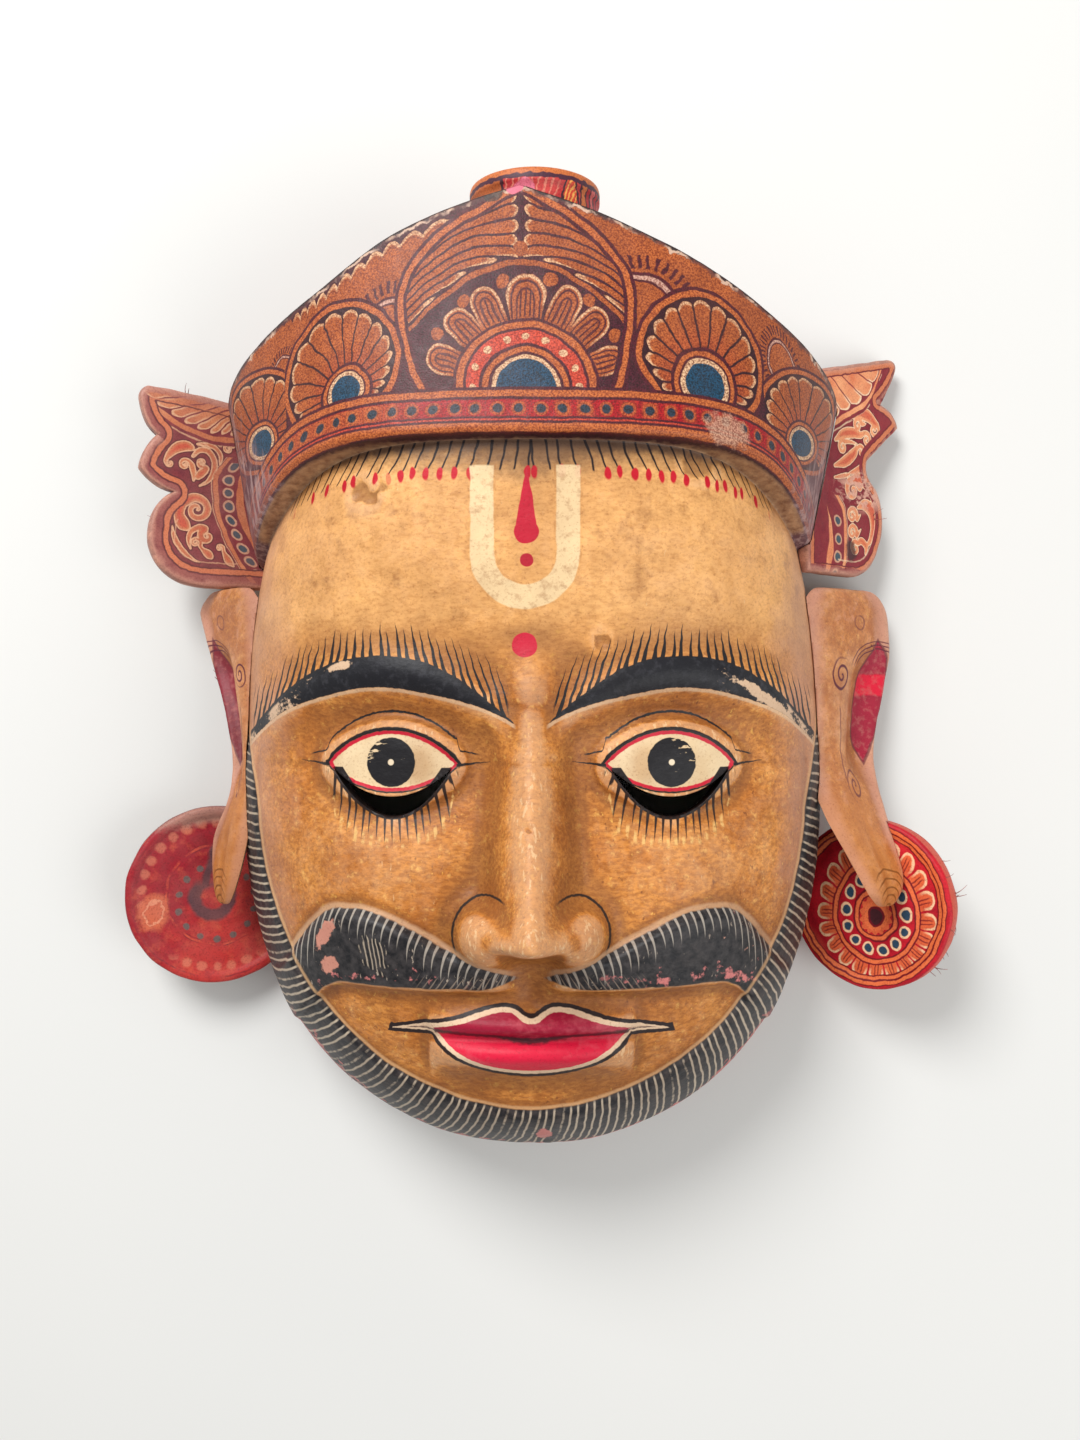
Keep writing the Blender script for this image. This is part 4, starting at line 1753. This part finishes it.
def ear_material(name, seed, hollow, glow, coil):
    """coil gives the spiral beside the hollow: its place across, its flattening, its size and turn."""
    paint = Paint(name, OCHRE)
    down, across, _ = paint.guide("ear")
    bulge, _, _ = paint.guide("wear")
    a, x = down * EAR_LENGTH, across * EAR_HALF
    sway_a, sway_x, shake = paint.noises(8, seed, 0.6)
    a, x = a + sway_a, x + sway_x
    cloud, fibre, fleck = skin_base(paint, BELOW_FOREHEAD, 0, bulge)
    patchy = paint.noise(4.5, seed + 1, 4)
    paint.lay(above(cloud, -0.6, 1.6), (208, 138, 98), 0.35)
    paint.lay(above(patchy, 0.1, 0.8), (170, 96, 56), 0.5)
    paint.lay(below(patchy, -0.5, 0.7), (224, 162, 132), 0.6)
    paint.lay(above(abs(x + 1), 11.5, 4), (210, 154, 132), 0.75)
    low = between(a, 72, 97, 10)
    paint.lay(low & below(x, 8, 6), (204, 132, 70), 0.45)

    # The hollow, and the curls round it
    plum = (100, 36, 52)
    deep = abs(x - 11) - 5.4 + (a - 40) * (a - 40) * 0.0107
    pit = below(deep + fibre * 0.3, 0, 0.5)
    paint.lay(pit, hollow)
    paint.lay(pit & between(a, 30.5, 38, 0.8), glow)
    paint.lay(pit & above(fleck, 0.3, 0.6), (196, 120, 112), 0.45)
    paint.lay(between(deep, -0.3, 0.5), plum, 0.7)
    over = far(x - 11, a - 29)
    curls = between(over, 7.6, 8.1) | between(over, 9.2, 9.7) | between(over, 10.8, 11.2)
    paint.lay(curls & below(a, 27, 2) & above(x, 0, 4), plum)
    middle, flat, size, way = coil
    cx, cy = x - middle, (a - 31) * flat
    r = far(cx, cy)
    paint.lay(line(wrapped(r - bearing(cx, cy * way) * 0.33, 2.1), 0.34) & below(r, size, 0.6), plum)
    r = far(x - 1.5, (a - 70) * 0.6)
    turned_in = wrapped(r - bearing(x - 1.5, (a - 70) * 0.6) * 0.33, 2.1)
    paint.lay(line(turned_in, 0.3) & below(r, 3.7, 0.5), plum, 0.8)
    paint.lay(line(x + 3.5 - (a - 55) * 0.1, 0.36) & between(a, 42, 68, 2), plum, 0.6)
    paint.lay(line(far(x - 3, a - 12) - 2.4, 0.3) & above(shake, -0.3, 0.3), plum, 0.6)

    # The lobe's tip
    tip = a - (x * x) * 0.03
    creases = line(wrapped(tip, 2.9), 0.32) & above(tip, 97, 0.5) & above(x, -9, 5)
    paint.lay(creases, (66, 36, 22))
    paint.lay(above(tip, 90, 12), (206, 126, 44), 0.4)
    back = above(across, 1.02, 0.05)
    paint.lay(back, paint.tint(above(cloud, 0, 2), (176, 128, 96), (196, 146, 116)))
    return finish_skin(paint, cloud, fibre, fleck)


def begin_disc(name, seed, base):
    """A disc's paint, its wavering coordinates, its noises, and how much each spot is rubbed."""
    paint = Paint(name, base)
    x, y, z = paint.guide("disc")
    sway_x, sway_y, _ = paint.noises(7, seed, 0.5)
    jog_x, jog_y, _ = paint.noises(1.8, seed + 1, 0.16)
    x, y = x + sway_x + jog_x, y + sway_y + jog_y
    cloud, fine = paint.noise(9, seed + 2, 4), paint.noise(0.7, seed + 3, 2)
    rubbed = paint.noise(3.2, seed + 4, 4)
    return paint, x, y, z, cloud, fine, rubbed


def end_disc(paint, z, cloud, fine, rubbed, side, chipped):
    paint.lay(below(z, 2.2, 0.4), side)
    paint.lay(below(z, -2.9, 0.3), (150, 104, 80))
    paint.lay(above(rubbed, chipped, 0.25), (222, 140, 122), 0.6)
    paint.lay(above(fine, 0.4, 0.8), (128, 60, 50), 0.45, "MULTIPLY")
    relief = product(cloud, 0.6, rubbed * 0.25) + fine * 0.1
    return paint.done(product(rubbed, 0.06, 0.5), relief, 0.13, 0.35)


def right_disc_material():
    """Crimson, with a rosette of petals round a ring of beads, set a little low and outwards."""
    paint, x, y, z, cloud, fine, rubbed = begin_disc("right_disc_paint", 140, (196, 12, 36))
    bright, dark, pale = (240, 116, 66), (120, 8, 28), (252, 204, 160)
    orange = paint.tint(above(cloud, 0, 1.6), (220, 84, 50), bright)
    paint.lay(above(cloud, 0.2, 1.2), (218, 30, 44), 0.7)
    paint.lay(below(cloud, -0.4, 1.2), dark, 0.45)
    u, v = x - 2.5, y + 4.5
    v = v - highest(v, 0) * 0.2
    r, a = far(u, v), bearing(u, v)
    across = wrapped(a, math.pi / 10) * r
    t = product(r, 1 / 6.2, -16.6 / 6.2)
    half = 2.35 + t * 0.75
    q = petal_depth(across, t, half)
    leaf = below(q, 1.0, 0.08) & above(r, 16.4)
    paint.lay(leaf, orange)
    paint.lay(leaf & above(q, 0.74, 0.12) & above(t, 0.4, 0.4), pale)
    hairs = line(wrapped(across + 0.6, 1.2), 0.2) & below(q, 0.6, 0.1) & below(t, 0.72, 0.2)
    paint.lay(hairs & leaf, dark, 0.85)
    rings = [(2.4, (70, 24, 32)), (3.2, dark), (4.8, bright), (6.3, None), (6.9, dark), (8.1, bright)]
    rings += [(8.8, dark), (14.4, None), (15.0, dark), (16.3, bright), (16.9, dark), (17.1, None)]
    paint.bands(r, 0, rings)
    teeth = below(r, 6.5 - abs(wrapped(a, 0.45)) * 5) & above(r, 4.6)
    paint.lay(teeth, orange)
    bead = bead_ring(r, a, 2 * math.pi / 13, 11.6)
    paint.lay(below(bead, 2.2), pale)
    paint.lay(below(bead, 1.45), (44, 70, 92))
    edge = [(25.3, None), (25.8, dark), (26.9, bright), (27.5, dark)]
    edge += [(28.7, bright), (29.1, dark), (31, None)]
    paint.bands(far(x, y), 23, edge)
    return end_disc(paint, z, cloud, fine, rubbed, (206, 84, 62), 1.2)


def left_disc_material():
    """Worn red, with little left of its petals, grey dots, and a dark stain round the lobe."""
    paint, x, y, z, cloud, fine, rubbed = begin_disc("left_disc_paint", 110, (156, 8, 32))
    r, a = far(x, y), bearing(x, y)
    blotch = paint.noise(5, 116, 4)
    paint.lay(below(x + y * 0.7 + cloud * 9, 2, 12), (206, 48, 38), 0.7)
    paint.lay(above(blotch, 0.35, 0.6), (216, 92, 62), 0.5)
    paint.lay(below(blotch, -0.5, 0.6), (140, 16, 34), 0.7)
    dark = (124, 14, 32)
    faint = [(17.0, None), (17.5, dark), (18.3, (212, 84, 56)), (18.7, dark), (29.6, None), (30.1, dark)]
    paint.bands(r, 12, faint, above(cloud + blotch * 0.6, 0.2, 0.8))
    oval = far(wrapped(a, 0.21) * r, r - 26.2)
    left_over = below(oval + rubbed * 0.5, 1.7, 0.8) & (above(y + x * 0.7, 14, 8) | below(y, -22, 3))
    paint.lay(left_over & above(rubbed, -0.9, 0.6), (226, 136, 104), 0.5)
    patch = far(x - 22.3, (y + 5.9) * 0.85) + rubbed * 1.6
    paint.lay(below(patch, 5.6, 2.2), (222, 116, 76), 0.75)
    paint.lay(line(patch - 3.4, 0.4) & above(rubbed, -0.6, 0.5), (238, 160, 124), 0.7)
    low = y + 2.6
    bead = bead_ring(far(x, low), bearing(x, low), 2 * math.pi / 14, 13.5)
    paint.lay(below(bead, 1.25, 0.4), (88, 92, 88), 0.9)
    stain = line(far(x - 1.5, y + 1) - 6.2 + rubbed * 0.4, 2.1, 1.2) & below(y, 5, 4)
    streak = line(x - 5.4 + y * 0.28, 1.5, 1.2) & between(y, 2, 18, 3)
    paint.lay(stain | streak, (66, 58, 64), 0.85)
    paint.lay(above(y + rubbed * 2, 24.5, 4) & above(r, 26, 2), (176, 142, 124), 0.7)
    dust = paint.noise(12, 115, 3)
    paint.lay(above(dust, 0.2, 1.6), (176, 104, 96), 0.3)
    return end_disc(paint, z, cloud, fine, rubbed, (134, 66, 62), 0.95)


def drum_material():
    paint = Paint("crest_paint", (190, 44, 46))
    turn, down, radius = paint.guide("turn")
    jog_t, jog_d, _ = paint.noises(2.4, 71, 0.3)
    warm, cloud, speck = gilt(paint, 72)
    t, d = turn + 1.4 + jog_t * 2, down + jog_d * 1.6
    wine = (64, 18, 36)
    paint.lay(above(cloud, 0.1, 1.0), (212, 78, 70), 0.8)
    strokes = line(wrapped(t + d * 0.3, 2.1), 0.3) & between(t, -9, 9, 1)
    paint.lay(strokes, (226, 140, 116), 0.75)
    paint.lay(below(t, -9), warm)
    paint.lay(line(t + 9, 0.5), wine)
    inside = 3.3 - abs(t - 13.2) - (d - 11) * (d - 11) * 0.03
    paint.lay(above(inside, 0), (214, 70, 40))
    paint.lay(line(wrapped(t + d * 0.5, 1.5), 0.3) & above(inside, 0.3), (240, 168, 84))
    paint.lay(line(inside, 0.4), wine)
    stripes = [(17.0, None), (17.7, wine), (19.6, ORANGE), (20.3, wine), (22.0, RED), (22.8, wine)]
    stripes += [(24.6, (214, 96, 92)), (25.4, wine), (27.4, RED), (28.2, wine), (30, None)]
    paint.bands(t, 15, stripes)
    paint.bands(d, -2, [(2.1, ORANGE), (3.5, (74, 30, 52)), (3.8, None)])
    paint.lay(below(radius, 18.6, 0.5) & below(down, 1.5, 0.3), (112, 58, 50))
    rubbed = paint.noise(3.2, 75, 4)
    paint.lay(above(rubbed, 1.0, 0.3), (222, 150, 128), 0.6)
    pink = far(turn + 3.2, (down - 6.6) * 1.1) + rubbed * 0.9
    paint.lay(below(pink, 3.3, 0.5), (222, 112, 136), 0.9)
    paint.lay(above(speck, 0.25, 0.9), (140, 70, 40), 0.5, "MULTIPLY")
    return paint.done(0.55, product(cloud, 0.6, rubbed * 0.3), 0.15)


def paper_material():
    """The unpainted inside: pasted strips of old paper and cloth, stained."""
    paint = Paint("bare_paper", (162, 132, 100))
    cloud, fine = paint.noise(24, 81, 4), paint.noise(1.2, 82, 3)
    cell = paint.texture("ShaderNodeTexVoronoi", 30, 83, (1, 0.45, 1))
    cell.distance = "CHEBYCHEV"
    strip = Num(cell.outputs[0])
    paint.lay(above(strip, 0.42, 0.08), (186, 160, 128), 0.55)
    paint.lay(above(cloud, 0.2, 1.2), (118, 88, 62), 0.6)
    paint.lay(below(cloud, -0.4, 1.0), (196, 176, 146), 0.5)
    paint.lay(above(fine, 0.3, 1.0), (104, 76, 54), 0.4)
    rim = below(paint.millimetres()[2] + fine * 1.2, 2.5, 2)
    paint.lay(rim, (190, 104, 96), 0.7)
    return paint.done(0.86, product(cloud, 0.4, fine * 0.3) + strip * 0.8, 0.5, 0.2)


def cap_material():
    paint = Paint("cap_paint", (104, 44, 46))
    cloud, fine = paint.noise(14, 91, 4), paint.noise(2.4, 92, 4)
    paint.lay(above(cloud, 0.0, 1.4), (150, 74, 48), 0.7)
    paint.lay(below(cloud, -0.3, 1.0), (70, 40, 44), 0.6)
    paint.lay(above(fine, 0.8, 0.4), (206, 150, 120), 0.7)
    paint.lay(above(cloud + fine * 0.6, 0.5, 0.8), (170, 120, 104), 0.45)
    return paint.done(product(fine, 0.06, 0.62), product(cloud, 0.6, fine * 0.25), 0.2)


def floor_material():
    paint = Paint("studio_floor", (232, 231, 227))
    paint.lay(above(paint.noise(260, 95, 2), -0.4, 2.5), (226, 226, 223))
    return paint.done(0.85, None, 0, 0.2)


def fibre_material():
    paint = Paint("frayed_fibre", (178, 104, 96))
    paint.lay(above(paint.noise(2.4, 97, 2), 0.0, 0.8), (110, 60, 56))
    return paint.done(0.8, None, 0, 0.2)


# The camera, the lights and the floor

CAMERA_PLACE = (0.0027, -0.0095, 0.470)  # in metres, straight in front of the face
FOCAL_LENGTH, SENSOR = 31.25, 36  # in mm, for the photograph's whole height
FLOOR_HALF = 1500

lens = bpy.data.cameras.new("camera")
lens.lens, lens.sensor_width, lens.sensor_fit, lens.clip_start = FOCAL_LENGTH, SENSOR, "AUTO", 0.01
camera = bpy.data.objects.new("camera", lens)
camera.location = CAMERA_PLACE
bpy.context.scene.collection.objects.link(camera)
bpy.context.scene.camera = camera


def area_light(name, place, aim, size, watts, colour=(1, 1, 1)):
    data = bpy.data.lights.new(name, "AREA")
    data.shape, data.size, data.energy, data.color = "DISK", size, watts, colour
    light = bpy.data.objects.new(name, data)
    light.location = place
    light.rotation_euler = (Vector(aim) - Vector(place)).to_track_quat("-Z", "Y").to_euler()
    bpy.context.scene.collection.objects.link(light)


area_light("key", (-0.45, 0.75, 0.95), (0, 0, 0.05), 0.6, 14)
area_light("fill", (0.8, -0.4, 0.9), (0, 0, 0.05), 0.9, 6)
world = bpy.data.worlds.new("studio")
world.use_nodes = True
world.node_tree.nodes["Background"].inputs["Color"].default_value = (1, 1, 1, 1)
world.node_tree.nodes["Background"].inputs["Strength"].default_value = 0.42
bpy.context.scene.world = world
bpy.context.scene.view_settings.view_transform = "Standard"

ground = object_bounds()[0][2]
square = ((-1, -1), (1, -1), (1, 1), (-1, 1))
corners = [[x * FLOOR_HALF, y * FLOOR_HALF, ground / MM - 0.3] for x, y in square]
floor = new_piece("floor", corners, [[0, 1, 2, 3]], [floor_material()], flat=True)

# Assembly

upper_skin, lower_skin = upper_skin_material(), lower_skin_material()
shell = make_shell([upper_skin, crown_material(), cap_material(), paper_material(), lower_skin])
block = head_block(GAP)
pieces = [(shell, "mask_shell", "skin_paint")]
pieces.append((make_drum([drum_material()], block), "crest_drum", "crown_paint"))
looks = {
    "left": (
        wing_material("left_wing_paint", 100, 0, LEFT_PLAN),
        left_disc_material(),
        ear_material("left_ear_paint", 120, (130, 40, 50), (138, 42, 54), (-7, 0.9, 4.2, 1)),
    ),
    "right": (
        wing_material("right_wing_paint", 130, 1, RIGHT_PLAN),
        right_disc_material(),
        ear_material("right_ear_paint", 150, (164, 30, 56), (226, 26, 58), (-4.6, 0.66, 4, -1)),
    ),
}
scrolls = {"left": LEFT_SCROLLS, "right": RIGHT_SCROLLS}
for where, (wing, disc, ear) in looks.items():
    ornament = make_ornament(
        f"wing_{where}", ribbons=scrolls[where], materials=[wing], block=block, **ORNAMENT[where]
    )
    pieces.append((ornament, f"side_ornament_{where}", "crown_paint"))
    earring = make_earring(f"disc_{where}", materials=[disc], block=block, **EARRING[where])
    pieces.append((earring, f"earring_{where}", "earring_paint"))
    lobe = make_ear(f"lobe_{where}", materials=[ear], block=block, earring=EARRING[where], **EAR[where])
    pieces.append((lobe, f"ear_{where}", "skin_paint"))
bpy.data.objects.remove(block)
for piece, node, slot in pieces:
    guide(piece, "wear", hollows(piece))
    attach(piece, "root")
    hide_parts(node)
threads = make_threads([fibre_material()])
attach(threads, "root")
